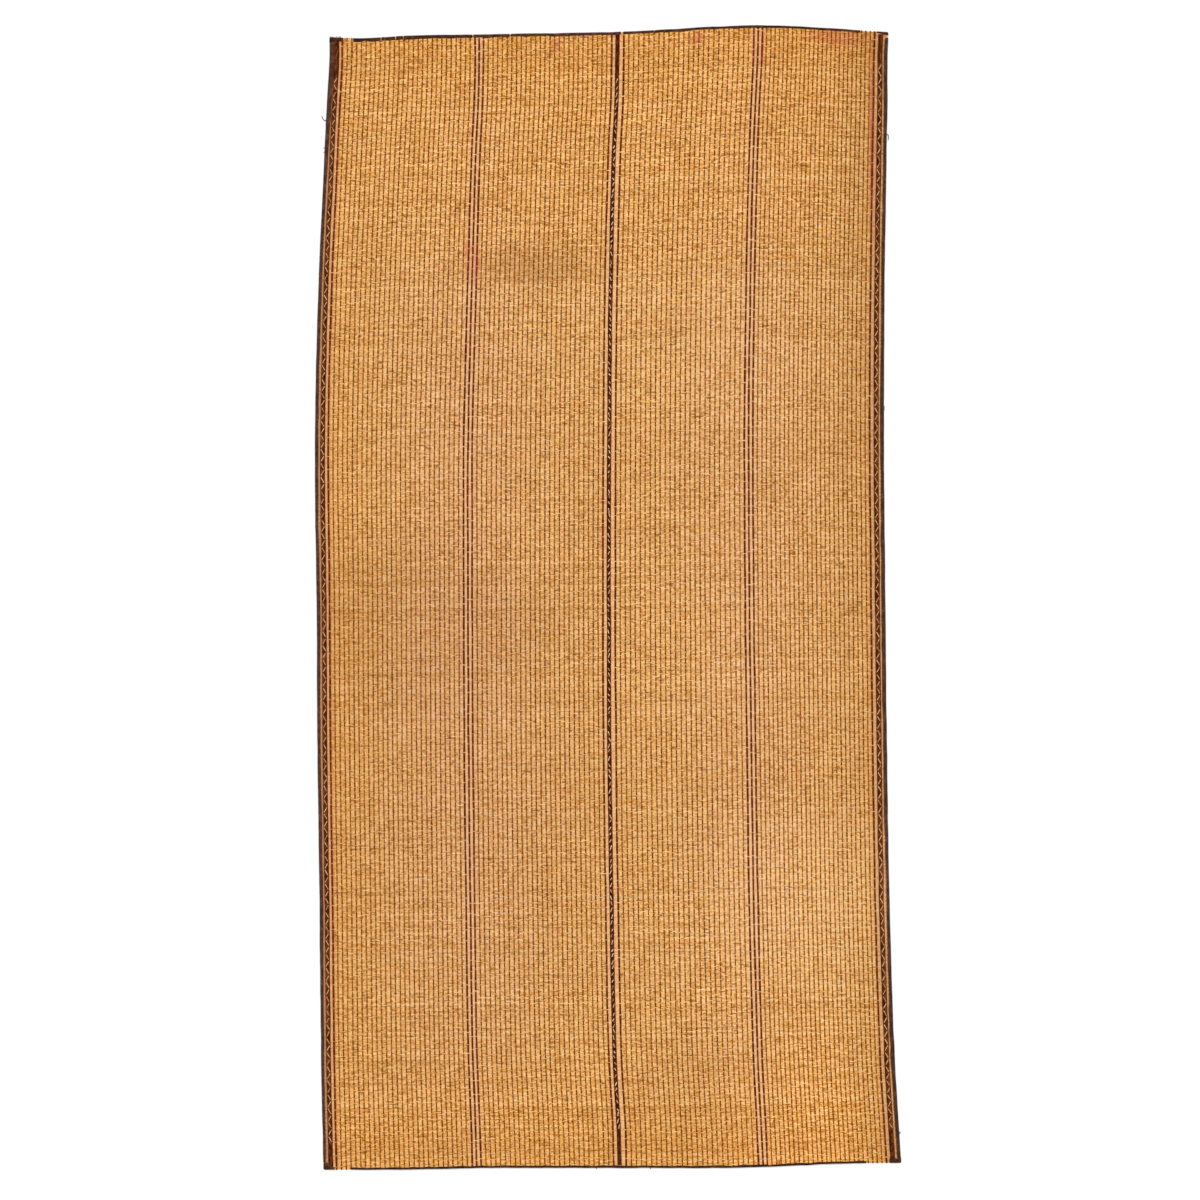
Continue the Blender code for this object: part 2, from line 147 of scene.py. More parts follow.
REED_INSET = 2.2 * MM
REED_END_INSET = 2.7 * MM
REED_BOTTOM = 1.15 * MM
REED_TOP = 4.7 * MM
REED_SHARE_OF_PITCH = 0.497
REED_WIDTH_SPREAD = 0.2
REED_WIDTH_LIMITS = (0.55, 1.5)
REED_LIFT = 0.1 * MM
REED_LIFT_MOST = 0.2 * MM
REED_SHAPE = ((1, 0), (0.42, 1), (-0.42, 1), (-1, 0), (-0.42, -1), (0.42, -1))
chance = np.random.default_rng(7)


def smooth_curve(knots, values, at):
    """The values at many places, on one smooth curve through all the knots."""
    knots, values = np.array(knots), np.array(values)
    slopes = np.gradient(values, knots)
    slopes[1:-1] = (values[2:] - values[:-2]) / (knots[2:] - knots[:-2])
    at = np.clip(at, knots[0], knots[-1])
    k = np.clip(np.searchsorted(knots, at) - 1, 0, len(knots) - 2)
    span = knots[k + 1] - knots[k]
    s = (at - knots[k]) / span
    rise = values[k + 1] - values[k]
    start_bend = slopes[k] * span - rise
    end_bend = rise - slopes[k + 1] * span
    return values[k] + s * rise + s * (1 - s) * ((1 - s) * start_bend + s * end_bend)


def on_mat(across, along):
    """X and Y of places on the mat: across is their X at mid-length, along runs from 0 (near) to 1 (far)."""
    across, along = np.broadcast_arrays(across, along)
    at_middle = np.array(MIDDLE[1:])
    share = (across - at_middle[0]) / (at_middle[-1] - at_middle[0])
    shares = [rim.share for rim in RIMS]
    near = smooth_curve(shares, [rim.near for rim in RIMS], share)
    far = smooth_curve(shares, [rim.far for rim in RIMS], share)
    y = near + (far - near) * along
    knots = [section.along for section in SECTIONS]
    lines = np.stack([smooth_curve(knots, [section[n] for section in SECTIONS], y) for n in range(1, 6)])
    k = np.clip(np.searchsorted(at_middle, across, side="right") - 1, 0, 3)
    left = np.take_along_axis(lines, k[None], 0)[0]
    right = np.take_along_axis(lines, k[None] + 1, 0)[0]
    part = (across - at_middle[k]) / (at_middle[k + 1] - at_middle[k])
    return left + (right - left) * part, y


def wander(strands, at, step, size):
    """For each strand a smooth uneven line, read at the places given, that strays by about size each step."""
    knots = int((np.max(at) - np.min(at)) / step) + 3
    strays = chance.normal(0.0, size, (strands, knots))
    place = (np.asarray(at) - np.min(at)) / step + chance.uniform(0.0, 1.0, (strands, 1))
    k = np.clip(place.astype(int), 0, knots - 2)
    ease = place - k
    ease = ease * ease * (3 - 2 * ease)
    low = np.take_along_axis(strays, k, 1)
    return low + (np.take_along_axis(strays, k + 1, 1) - low) * ease


def loft(name, rings, folds=1, **facts):
    """Makes many closed strands one mesh. rings holds the points by strand, row and place round the row."""
    strands, rows, sides, _ = rings.shape
    first = rings[0, 0] - rings[0, 0].mean(axis=0)
    turn = np.cross(first, np.roll(first, -1, axis=0)).sum(axis=0)
    if turn @ (rings[0, 1] - rings[0, 0]).mean(axis=0) < 0:
        rings = rings[:, :, ::-1]
        facts = {fact: np.broadcast_to(v, (strands, rows, sides))[:, :, ::-1] for fact, v in facts.items()}
    point = np.arange(strands * rows * sides).reshape(strands, rows, sides)
    here, ahead = point[:, :-1], point[:, 1:]
    walls = np.stack([here, np.roll(here, -1, 2), np.roll(ahead, -1, 2), ahead], axis=-1).reshape(-1, 4)
    caps = np.concatenate([point[:, 0, ::-1], point[:, -1]])

    mesh = bpy.data.meshes.new(name)
    mesh.vertices.add(point.size)
    mesh.vertices.foreach_set("co", rings.astype(np.float32).ravel())
    corners = np.concatenate([walls.ravel(), caps.ravel()]).astype(np.int32)
    mesh.loops.add(corners.size)
    mesh.loops.foreach_set("vertex_index", corners)
    starts = np.concatenate([np.arange(len(walls)) * 4, walls.size + np.arange(len(caps)) * sides])
    mesh.polygons.add(len(starts))
    mesh.polygons.foreach_set("loop_start", starts.astype(np.int32))

    run = -(-(rows - 1) // folds)
    row = np.arange(rows - 1)
    strip = np.arange(strands)[:, None] * folds + row // run
    strip, side = np.broadcast_arrays(strip[:, :, None], np.arange(sides))
    left, right = ((strip + 0.05 + 0.9 * (side + step) / sides) / (strands * folds) for step in (0, 1))
    low, high = (
        np.broadcast_to((0.01 + 0.95 * (row % run + step) / run)[:, None], left.shape) for step in (0, 1)
    )
    wall_map = np.stack([left, low, right, low, right, high, left, high], axis=-1)
    turned = np.arange(sides) * 2 * np.pi / sides
    cap_strip = np.concatenate([np.arange(strands) * folds, np.arange(strands) * folds + folds - 1])
    cap_height = np.repeat((0.972, 0.988), strands)
    cap_u = (cap_strip[:, None] + 0.5 + 0.45 * np.cos(turned)) / (strands * folds)
    cap_v = cap_height[:, None] + 0.006 * np.sin(turned)
    baked = mesh.uv_layers.new(name="OFBake")
    unrolled = np.concatenate([wall_map.ravel(), np.stack([cap_u, cap_v], axis=-1).ravel()])
    baked.data.foreach_set("uv", unrolled.astype(np.float32))

    for fact, values in facts.items():
        layer = mesh.attributes.new(fact, "FLOAT", "POINT")
        values = np.broadcast_to(values, (strands, rows, sides)).astype(np.float32)
        layer.data.foreach_set("value", values.ravel())
    mesh.update(calc_edges=True)
    mesh.validate()
    mesh.shade_smooth()
    return mesh


def dress(name, mesh, material, slot, *nodes):
    """Puts a finished mesh on the mat in place of the CAD nodes named."""
    mesh.materials.append(material)
    piece = bpy.data.objects.new(name, mesh)
    scene.collection.objects.link(piece)
    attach(piece, "root")
    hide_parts(*nodes)
    return piece


def plug(tree, socket, value):
    """Links a socket to another one, or sets it to a value."""
    if isinstance(value, bpy.types.NodeSocket):
        tree.links.new(value, socket)
    elif value is not None:
        socket.default_value = value


def node(tree, kind, settings=None, **inputs):
    """Adds a shader node with its settings, and its inputs by name with _ for a space."""
    made = tree.nodes.new("ShaderNode" + kind)
    for setting, value in (settings or {}).items():
        setattr(made, setting, value)
    for name, value in inputs.items():
        plug(tree, made.inputs[name.replace("_", " ")], value)
    return made


def maths(tree, operation, *values, clamp=False):
    """The result of one step of arithmetic on sockets or numbers."""
    made = node(tree, "Math", {"operation": operation, "use_clamp": clamp})
    for socket, value in zip(made.inputs, values):
        plug(tree, socket, value)
    return made.outputs[0]


def blend(tree, amount, first, second, way="MIX"):
    """One colour laid over another by an amount."""
    made = node(tree, "Mix", {"data_type": "RGBA", "blend_type": way})
    plug(tree, made.inputs[0], amount)
    plug(tree, made.inputs[6], first)
    plug(tree, made.inputs[7], second)
    return made.outputs[2]


def ease_between(tree, value, start, end, to_start=0.0, to_end=1.0):
    """Turns a value smoothly from one range into another."""
    smooth = {"interpolation_type": "SMOOTHSTEP"}
    made = node(tree, "MapRange", smooth, Value=value, From_Min=start, From_Max=end)
    plug(tree, made.inputs["To Min"], to_start)
    plug(tree, made.inputs["To Max"], to_end)
    return made.outputs[0]


def effect(name, inputs, outputs):
    """Starts a node group with named sockets, and returns its tree, what comes in and what goes out."""
    tree = bpy.data.node_groups.new(name, "ShaderNodeTree")
    for socket, kind in inputs.items():
        tree.interface.new_socket(socket, in_out="INPUT", socket_type="NodeSocket" + kind)
    for socket, kind in outputs.items():
        tree.interface.new_socket(socket, in_out="OUTPUT", socket_type="NodeSocket" + kind)
    return tree, tree.nodes.new("NodeGroupInput").outputs, tree.nodes.new("NodeGroupOutput").inputs


def use(tree, group, **inputs):
    """Puts a finished effect into a material or another effect, and returns its outputs."""
    made = node(tree, "Group", {"node_tree": group})
    for name, value in inputs.items():
        plug(tree, made.inputs[name.replace("_", " ")], value)
    return made.outputs


# A soft-edged uneven spot, for stains, for places where age or handling has changed the colour, and for
# places of painted light and shade.
spot, given, result = effect(
    "spot",
    {"Place": "Vector", "Centre": "Vector", "Reach": "Vector", "Uneven": "Float"},
    {"Mask": "Float"},
)
away = node(spot, "VectorMath", {"operation": "SUBTRACT"})
plug(spot, away.inputs[0], given["Place"])
plug(spot, away.inputs[1], given["Centre"])
scaled = node(spot, "VectorMath", {"operation": "DIVIDE"})
plug(spot, scaled.inputs[0], away.outputs[0])
plug(spot, scaled.inputs[1], given["Reach"])
distance = node(spot, "VectorMath", {"operation": "LENGTH"})
plug(spot, distance.inputs[0], scaled.outputs[0])
reached = maths(spot, "ADD", distance.outputs["Value"], given["Uneven"])
plug(spot, result["Mask"], ease_between(spot, reached, 0.25, 1.15, 1.0, 0.0))

# What years on the floor have done, with painted light and shade over it: the ends are warmer and deeper in
# colour than the middle, the left edge is deeper, and two long stretches have faded. There are brown smudges,
# and red where the dye of the leather has run. The darker places are painted shade and the paler places
# painted light, for soft undulations of the flat mat, and the right edge is painted brighter, as if lit from
# the right. Places and reaches are in metres on the mat.
StainAndLightSpot = namedtuple("StainAndLightSpot", "x y reach_x reach_y strength")
RED_STAINS = (
    StainAndLightSpot(-0.609, 1.483, 0.016, 0.095, 0.85),
    StainAndLightSpot(-0.571, 1.470, 0.016, 0.115, 0.85),
    StainAndLightSpot(0.634, 2.39, 0.011, 0.105, 0.8),
    StainAndLightSpot(0.672, 2.39, 0.011, 0.105, 0.8),
    StainAndLightSpot(1.150, 1.98, 0.015, 0.50, 0.85),
    StainAndLightSpot(0.390, 2.43, 0.045, 0.035, 0.6),
    StainAndLightSpot(1.010, 2.440, 0.15, 0.055, 0.55),
    StainAndLightSpot(1.196, 2.445, 0.020, 0.020, 0.35),
    StainAndLightSpot(-0.228, 2.41, 0.025, 0.045, 0.5),
    StainAndLightSpot(-0.021, 0.424, 0.014, 0.028, 0.7),
    StainAndLightSpot(-0.021, 0.250, 0.014, 0.055, 0.7),
)
BROWN_STAINS = (
    StainAndLightSpot(-0.30, 1.450, 0.30, 0.13, 0.26),
    StainAndLightSpot(-0.33, 1.378, 0.22, 0.012, 0.34),
)
# Darker places, painted shade: they stand in for the shade of soft undulations that the flat mat doesn't
# have, and are mixed in with the brown smudges.
SHADED_PLACES = (
    StainAndLightSpot(-0.90, -0.14, 1.0, 0.55, 0.20),
    StainAndLightSpot(-0.75, -1.50, 1.3, 1.6, 0.10),
    StainAndLightSpot(0.30, -2.20, 0.60, 0.40, 0.14),
)
FADED_PLACES = (
    StainAndLightSpot(-0.62, -0.30, 0.40, 2.6, 1.0),
    StainAndLightSpot(0.64, -0.20, 0.36, 2.6, 0.7),
)
DEEP_PLACES = (StainAndLightSpot(-1.22, -0.30, 0.26, 3.6, 0.65),)
# Painted light: brighter places, chiefly along the right edge as if light fell from the right, and two
# patches near the ends.
PAINTED_LIGHT_PLACES = (
    StainAndLightSpot(1.22, -0.10, 0.20, 3.6, 1.0),
    StainAndLightSpot(0.00, 1.90, 1.7, 0.60, 0.28),
    StainAndLightSpot(0.90, -2.25, 0.50, 0.45, 0.55),
)
# Painted light: paler places that lighten the tone where soft undulations of the mat would catch the light.
PAINTED_LIGHT_TONE_PLACES = (
    StainAndLightSpot(0.92, -1.32, 0.6, 0.5, 0.30),
    StainAndLightSpot(0.30, 1.10, 0.8, 0.5, 0.12),
)
ageing_and_painted_light, given, result = effect(
    "ageing_and_painted_light",
    {"Place": "Vector"},
    {"Warmth": "Float", "Tone_and_painted_light": "Float", "Hue": "Float", "Red": "Float", "Smudges_and_shade": "Float", "Faded": "Float",
     "Deep": "Float", "Painted_light": "Float"},
)


def noise_at(tree, place, scale, detail, roughness):
    """Noise over a surface, from 0 to 1."""
    made = node(tree, "TexNoise", Vector=place, Scale=scale, Detail=detail, Roughness=roughness)
    return made.outputs["Fac"]


ragged = noise_at(ageing_and_painted_light, given["Place"], 50.0, 3.0, 0.65)
ragged_edge = maths(ageing_and_painted_light, "MULTIPLY_ADD", ragged, 2.2, -1.1)
clouds = noise_at(ageing_and_painted_light, given["Place"], 1.6, 4.0, 0.6)
cloudy_edge = maths(ageing_and_painted_light, "MULTIPLY_ADD", clouds, 0.9, -0.45)


def stained_and_lit(stains, uneven=cloudy_edge):
    """The strongest of several spots at each place, stains and spots of painted light and shade, with cloudy
    edges or others.
    """
    strongest = 0.0
    for stain in stains:
        mask = use(ageing_and_painted_light, spot, Place=given["Place"], Centre=(stain.x, stain.y, 0.0),
                   Reach=(stain.reach_x, stain.reach_y, 1.0), Uneven=uneven)["Mask"]
        strongest = maths(ageing_and_painted_light, "MAXIMUM", strongest, maths(ageing_and_painted_light, "MULTIPLY", mask, stain.strength))
    return strongest


from_middle = maths(ageing_and_painted_light, "ABSOLUTE", node(ageing_and_painted_light, "SeparateXYZ", Vector=given["Place"]).outputs["Y"])
uneven_ends = maths(ageing_and_painted_light, "ADD", from_middle, cloudy_edge)
plug(ageing_and_painted_light, result["Warmth"], ease_between(ageing_and_painted_light, uneven_ends, 0.9, 2.3))
patches = noise_at(ageing_and_painted_light, given["Place"], 5.5, 5.0, 0.62)
broad = maths(ageing_and_painted_light, "MULTIPLY_ADD", patches, 0.5, -0.25)
# Broad random patches of tone, together with the painted light of the paler places.
plug(ageing_and_painted_light, result["Tone_and_painted_light"], maths(ageing_and_painted_light, "ADD", broad, stained_and_lit(PAINTED_LIGHT_TONE_PLACES)))
drawn_out = node(ageing_and_painted_light, "VectorMath", {"operation": "MULTIPLY"})
plug(ageing_and_painted_light, drawn_out.inputs[0], given["Place"])
plug(ageing_and_painted_light, drawn_out.inputs[1], (42.0, 18.0, 1.0))
hues = noise_at(ageing_and_painted_light, drawn_out.outputs[0], 1.0, 3.0, 0.6)
plug(ageing_and_painted_light, result["Hue"], ease_between(ageing_and_painted_light, hues, 0.34, 0.66))
plug(ageing_and_painted_light, result["Red"], stained_and_lit(RED_STAINS, ragged_edge))
smudges = stained_and_lit(BROWN_STAINS, ragged_edge)
# Brown smudges together with the painted shade of the darker places.
plug(ageing_and_painted_light, result["Smudges_and_shade"], maths(ageing_and_painted_light, "MAXIMUM", smudges, stained_and_lit(SHADED_PLACES)))
# Painted light along the right edge and in two patches.
plug(ageing_and_painted_light, result["Painted_light"], stained_and_lit(PAINTED_LIGHT_PLACES))
plug(ageing_and_painted_light, result["Faded"], stained_and_lit(FADED_PLACES))
near_end = ease_between(ageing_and_painted_light, maths(ageing_and_painted_light, "MULTIPLY_ADD", cloudy_edge, 0.3, from_middle), 1.95, 2.50)
plug(ageing_and_painted_light, result["Deep"], maths(ageing_and_painted_light, "MAXIMUM", near_end, stained_and_lit(DEEP_PLACES)))

# The grain of a dry stem: fibres along it, tones that change every few centimetres, joints, and short dark
# marks that are partly bruises and partly painted shade of small gaps between stems.
STEM_JOINTS = 0.21
stem_grain, given, result = effect(
    "stem_grain",
    {"Place": "Vector", "Stem": "Float"},
    {"Tone": "Float", "Joint": "Float", "Bruise_and_gap_shade": "Float", "Height": "Float"},
)
at = node(stem_grain, "SeparateXYZ", Vector=given["Place"]).outputs


def along_stem(stretch, shift, detail):
    """Noise that changes along each stem and from stem to stem."""
    where = node(stem_grain, "CombineXYZ")
    plug(stem_grain, where.inputs["X"], maths(stem_grain, "MULTIPLY", at["X"], stretch))
    plug(stem_grain, where.inputs["Y"], maths(stem_grain, "MULTIPLY", given["Stem"], 3.71))
    plug(stem_grain, where.inputs["Z"], shift)
    noise = node(stem_grain, "TexNoise", Vector=where.outputs[0], Scale=1.0, Detail=detail, Roughness=0.6)
    return noise.outputs["Fac"]


patch = along_stem(62.0, 1.5, 2.0)
whole = node(stem_grain, "TexWhiteNoise", {"noise_dimensions": "1D"}, W=given["Stem"]).outputs["Value"]
fibre_at = node(stem_grain, "VectorMath", {"operation": "MULTIPLY"})
plug(stem_grain, fibre_at.inputs[0], given["Place"])
plug(stem_grain, fibre_at.inputs[1], (70.0, 2400.0, 1600.0))
fibre = node(stem_grain, "TexNoise", Vector=fibre_at.outputs[0], Scale=1.0, Detail=3.0).outputs["Fac"]
tone = maths(stem_grain, "MULTIPLY_ADD", maths(stem_grain, "SUBTRACT", patch, 0.5), 2.3, 0.52)
tone = maths(stem_grain, "MULTIPLY_ADD", maths(stem_grain, "SUBTRACT", whole, 0.5), 0.26, tone)
tone = maths(stem_grain, "MULTIPLY_ADD", maths(stem_grain, "SUBTRACT", fibre, 0.5), 0.4, tone)
plug(stem_grain, result["Tone"], tone)
joint_at = maths(stem_grain, "MULTIPLY_ADD", whole, 7.0, at["X"])
to_joint = maths(stem_grain, "PINGPONG", joint_at, STEM_JOINTS / 2)
joint = ease_between(stem_grain, to_joint, 0.0006, 0.0028, 1.0, 0.0)
plug(stem_grain, result["Joint"], joint)
# Short dark marks along single stems: partly bruises, partly painted shade where stems would stand a little
# apart.
bruises_and_gap_shade = ease_between(stem_grain, along_stem(24.0, 41.0, 1.0), 0.645, 0.70)
specks_and_gap_shade = ease_between(stem_grain, along_stem(130.0, 77.0, 0.0), 0.72, 0.78)
plug(stem_grain, result["Bruise_and_gap_shade"], maths(stem_grain, "MAXIMUM", bruises_and_gap_shade, specks_and_gap_shade))
plug(stem_grain, result["Height"], maths(stem_grain, "MULTIPLY_ADD", joint, 0.8, fibre))

REED_TONES = (
    (0.0, (0.36, 0.138, 0.016)),
    (0.30, (0.66, 0.312, 0.062)),
    (0.52, (0.85, 0.465, 0.145)),
    (0.74, (0.91, 0.595, 0.255)),
    (1.0, (0.92, 0.660, 0.315)),
)
PALE_STRAW = (0.68, 0.41, 0.19, 1.0)
HUE_TINTS = ((0.985, 1.0, 0.94, 1.0), (1.0, 0.975, 1.06, 1.0))
FADED_TINT = (1.0, 1.01, 1.20, 1.0)
DEEP_TINT = (0.985, 0.92, 0.77, 1.0)
PAINTED_LIGHT_TINT = (1.14, 1.12, 1.06, 1.0)
JOINT_BROWN = (0.24, 0.080, 0.015, 1.0)
BRUISE_AND_GAP_SHADE_BROWN = (0.23, 0.055, 0.004, 1.0)
SMUDGE_AND_SHADE_BROWN = (0.34, 0.120, 0.022, 1.0)
STAIN_RED = (0.66, 0.15, 0.070, 1.0)
BESIDE_DARK_THONGS = (0.87, 0.52, 0.29, 1.0)
WORN_STRIP = (0.40, 0.20, 0.12, 1.0)
RUN_DYE = (0.66, 0.18, 0.08, 1.0)
reed_finish = bpy.data.materials.new("dry_reed")
reed_finish.use_nodes = True
tree = reed_finish.node_tree
place = node(tree, "TexCoord").outputs["Object"]
stem = node(tree, "Attribute", {"attribute_name": "stem"}).outputs["Fac"]
grain = use(tree, stem_grain, Place=place, Stem=stem)
aged_and_painted_light = use(tree, ageing_and_painted_light, Place=place)
across = node(tree, "Attribute", {"attribute_name": "across"}).outputs["Fac"]
tone = maths(tree, "MULTIPLY_ADD", aged_and_painted_light["Tone_and_painted_light"], 0.5, grain["Tone"], clamp=True)
straw = node(tree, "ValToRGB", Fac=tone)
for k, (stop, colour) in enumerate(REED_TONES):
    mark = straw.color_ramp.elements[k] if k < 2 else straw.color_ramp.elements.new(stop)
    mark.position = stop
    mark.color = (*colour, 1.0)
faded = blend(tree, 0.16, straw.outputs["Color"], PALE_STRAW)
colour = blend(tree, aged_and_painted_light["Warmth"], faded, straw.outputs["Color"])
tint = blend(tree, aged_and_painted_light["Hue"], *HUE_TINTS)
colour = blend(tree, 1.0, colour, tint, "MULTIPLY")
colour = blend(tree, aged_and_painted_light["Faded"], colour, FADED_TINT, "MULTIPLY")
colour = blend(tree, aged_and_painted_light["Deep"], colour, DEEP_TINT, "MULTIPLY")
# Painted light: brighter along the right edge and in two patches.
colour = blend(tree, aged_and_painted_light["Painted_light"], colour, PAINTED_LIGHT_TINT, "MULTIPLY")
colour = blend(tree, maths(tree, "MULTIPLY", grain["Joint"], 0.5), colour, JOINT_BROWN)
# Bruises, and the painted shade of small gaps between stems.
colour = blend(tree, maths(tree, "MULTIPLY", grain["Bruise_and_gap_shade"], 0.74), colour, BRUISE_AND_GAP_SHADE_BROWN)
# Brown smudges, and the painted shade of the darker places.
colour = blend(tree, aged_and_painted_light["Smudges_and_shade"], colour, SMUDGE_AND_SHADE_BROWN)
colour = blend(tree, maths(tree, "MULTIPLY", aged_and_painted_light["Red"], 0.8), colour, STAIN_RED)
beside = 1.0
dyed = 0.0
worn_in = 0.0
DyedEdge = namedtuple("DyedEdge", "dark_thong outward dye_share worn_share")
for edge in (DyedEdge(LEFT_DARK, -1, 1.0, 0.60), DyedEdge(RIGHT_DARK, 1, 0.4, 0.0)):
    outside = maths(tree, "MULTIPLY", maths(tree, "SUBTRACT", across, edge.dark_thong), edge.outward)
    beside = maths(tree, "MULTIPLY", beside, ease_between(tree, outside, -0.006, 0.008, 1.0, 0.0))
    near_dark = ease_between(tree, maths(tree, "ABSOLUTE", outside), 0.004, 0.014, edge.dye_share, 0.0)
    dyed = maths(tree, "MAXIMUM", dyed, near_dark)
    outer_strip = ease_between(tree, outside, 0.030, 0.036, 0.0, edge.worn_share)
    worn_in = maths(tree, "MAXIMUM", worn_in, outer_strip)
for line in (MIDDLE.left_triple, MIDDLE.centre, MIDDLE.right_triple):
    from_line = maths(tree, "ABSOLUTE", maths(tree, "SUBTRACT", across, line))
    beside = maths(tree, "MULTIPLY", beside, ease_between(tree, from_line, 0.021, 0.030))
colour = blend(tree, maths(tree, "MULTIPLY_ADD", beside, -0.4, 0.4), colour, BESIDE_DARK_THONGS)
colour = blend(tree, worn_in, colour, WORN_STRIP)
dye = maths(tree, "MULTIPLY", dyed, maths(tree, "MULTIPLY_ADD", aged_and_painted_light["Hue"], 0.45, 0.12))
colour = blend(tree, dye, colour, RUN_DYE)
shader = tree.nodes["Principled BSDF"]
plug(tree, shader.inputs["Base Color"], colour)
shader.inputs["Specular IOR Level"].default_value = 0.07
plug(tree, shader.inputs["Roughness"], ease_between(tree, tone, 0.1, 0.9, 0.68, 0.50))
relief = node(tree, "Bump", Height=grain["Height"], Strength=0.35, Distance=0.25 * MM)
plug(tree, shader.inputs["Normal"], relief.outputs["Normal"])

reed_widths = chance.normal(1.0, REED_WIDTH_SPREAD, REED_COUNT + 1)
reed_edges = np.cumsum(np.clip(reed_widths, *REED_WIDTH_LIMITS))
reed_edges = (reed_edges - reed_edges[0]) / (reed_edges[-1] - reed_edges[0])
inset = REED_INSET / MEAN_LENGTH
reed_edges = inset + (1 - 2 * inset) * reed_edges
reed_middles = (reed_edges[1:] + reed_edges[:-1]) / 2
reed_lifts = np.clip(chance.normal(0.0, REED_LIFT, REED_COUNT), -REED_LIFT_MOST, REED_LIFT_MOST)
left_end, right_end = MIDDLE.left_edge + REED_END_INSET, MIDDLE.right_edge - REED_END_INSET
reed_knots = (left_end, MIDDLE.left_triple, MIDDLE.centre, MIDDLE.right_triple, right_end)
between_knots = [(low + high) / 2 for low, high in zip(reed_knots, reed_knots[1:])]
rim_dip = MIDDLE.left_edge + RIMS[1].share * (MIDDLE.right_edge - MIDDLE.left_edge)
reed_columns = np.sort([*reed_knots, *between_knots, rim_dip])
half_widths = (reed_edges[1:] - reed_edges[:-1]) * MEAN_LENGTH * REED_SHARE_OF_PITCH
half_height = (REED_TOP - REED_BOTTOM) / 2
for block in range(REED_BLOCKS):
    reeds = np.arange(REED_COUNT * block // REED_BLOCKS, REED_COUNT * (block + 1) // REED_BLOCKS)
    x, y = on_mat(reed_columns[None, :], reed_middles[reeds][:, None])
    y = y + wander(len(reeds), reed_columns, 0.30, 0.22 * MM)
    width = half_widths[reeds][:, None] * (1 + wander(len(reeds), reed_columns, 0.35, 0.04))
    lift = reed_lifts[reeds][:, None] + np.zeros_like(x)
    rings = np.empty((*x.shape, len(REED_SHAPE), 3))
    for side, (out, up) in enumerate(REED_SHAPE):
        rings[:, :, side, 0] = x
        rings[:, :, side, 1] = y + out * width
        rings[:, :, side, 2] = REED_BOTTOM + half_height * (1 + up) + lift
    name = f"reeds_{block + 1}"
    mesh = loft(name, rings, across=reed_columns[None, :, None], stem=reeds[:, None, None])
    piece = dress(name, mesh, reed_finish, "reed", "reed_panel")

# The plain thongs: narrow strips of dark brown leather, 103 rows in four fields, woven from end to end of the
# mat. Each goes over about six reeds and under the next one, and neighbours mostly go under different reeds.
TRIPLE_SPACING = 18.6 * MM
CENTRE_PAIR_OFFSET = 27.0 * MM
Field = namedtuple("Field", "name first last thongs")
FIELDS = (
    Field("left_outer", LEFT_DARK, MIDDLE.left_triple - TRIPLE_SPACING, 27),
    Field("left_inner", MIDDLE.left_triple + TRIPLE_SPACING, MIDDLE.centre - CENTRE_PAIR_OFFSET, 26),
    Field("right_inner", MIDDLE.centre + CENTRE_PAIR_OFFSET, MIDDLE.right_triple - TRIPLE_SPACING, 25),
    Field("right_outer", MIDDLE.right_triple + TRIPLE_SPACING, RIGHT_DARK, 25),
)
PLAIN_WIDTH = 5.25 * MM
PLAIN_CREST = 0.95 * MM
OVER_REED = 5.0 * MM
UNDER_REED = 0.02 * MM
PLAIN_FLOATS = 192
DIP = np.array((-0.60, -0.32, 0.32, 0.60))

leather_grain, given, result = effect(
    "leather_grain", {"Place": "Vector", "Strand": "Float"}, {"Tone": "Float", "Height": "Float"}
)
shifted = node(leather_grain, "VectorMath", {"operation": "ADD"})
strand_shift = node(leather_grain, "CombineXYZ", Z=maths(leather_grain, "MULTIPLY", given["Strand"], 0.37))
plug(leather_grain, shifted.inputs[0], given["Place"])
plug(leather_grain, shifted.inputs[1], strand_shift.outputs[0])
place = shifted.outputs[0]
pores = node(leather_grain, "TexVoronoi", Vector=place, Scale=1100.0).outputs["Distance"]
creases = noise_at(leather_grain, place, 260.0, 4.0, 0.6)
lengths = noise_at(leather_grain, place, 42.0, 3.0, 0.65)
own = node(leather_grain, "TexWhiteNoise", {"noise_dimensions": "1D"}, W=given["Strand"]).outputs["Value"]
tone = maths(leather_grain, "MULTIPLY_ADD", maths(leather_grain, "SUBTRACT", lengths, 0.5), 1.9, 0.5)
tone = maths(leather_grain, "MULTIPLY_ADD", maths(leather_grain, "SUBTRACT", creases, 0.5), 0.7, tone)
tone = maths(leather_grain, "MULTIPLY_ADD", maths(leather_grain, "SUBTRACT", own, 0.5), 0.3, tone, clamp=True)
plug(leather_grain, result["Tone"], tone)
plug(leather_grain, result["Height"], maths(leather_grain, "MULTIPLY_ADD", pores, 0.5, creases))


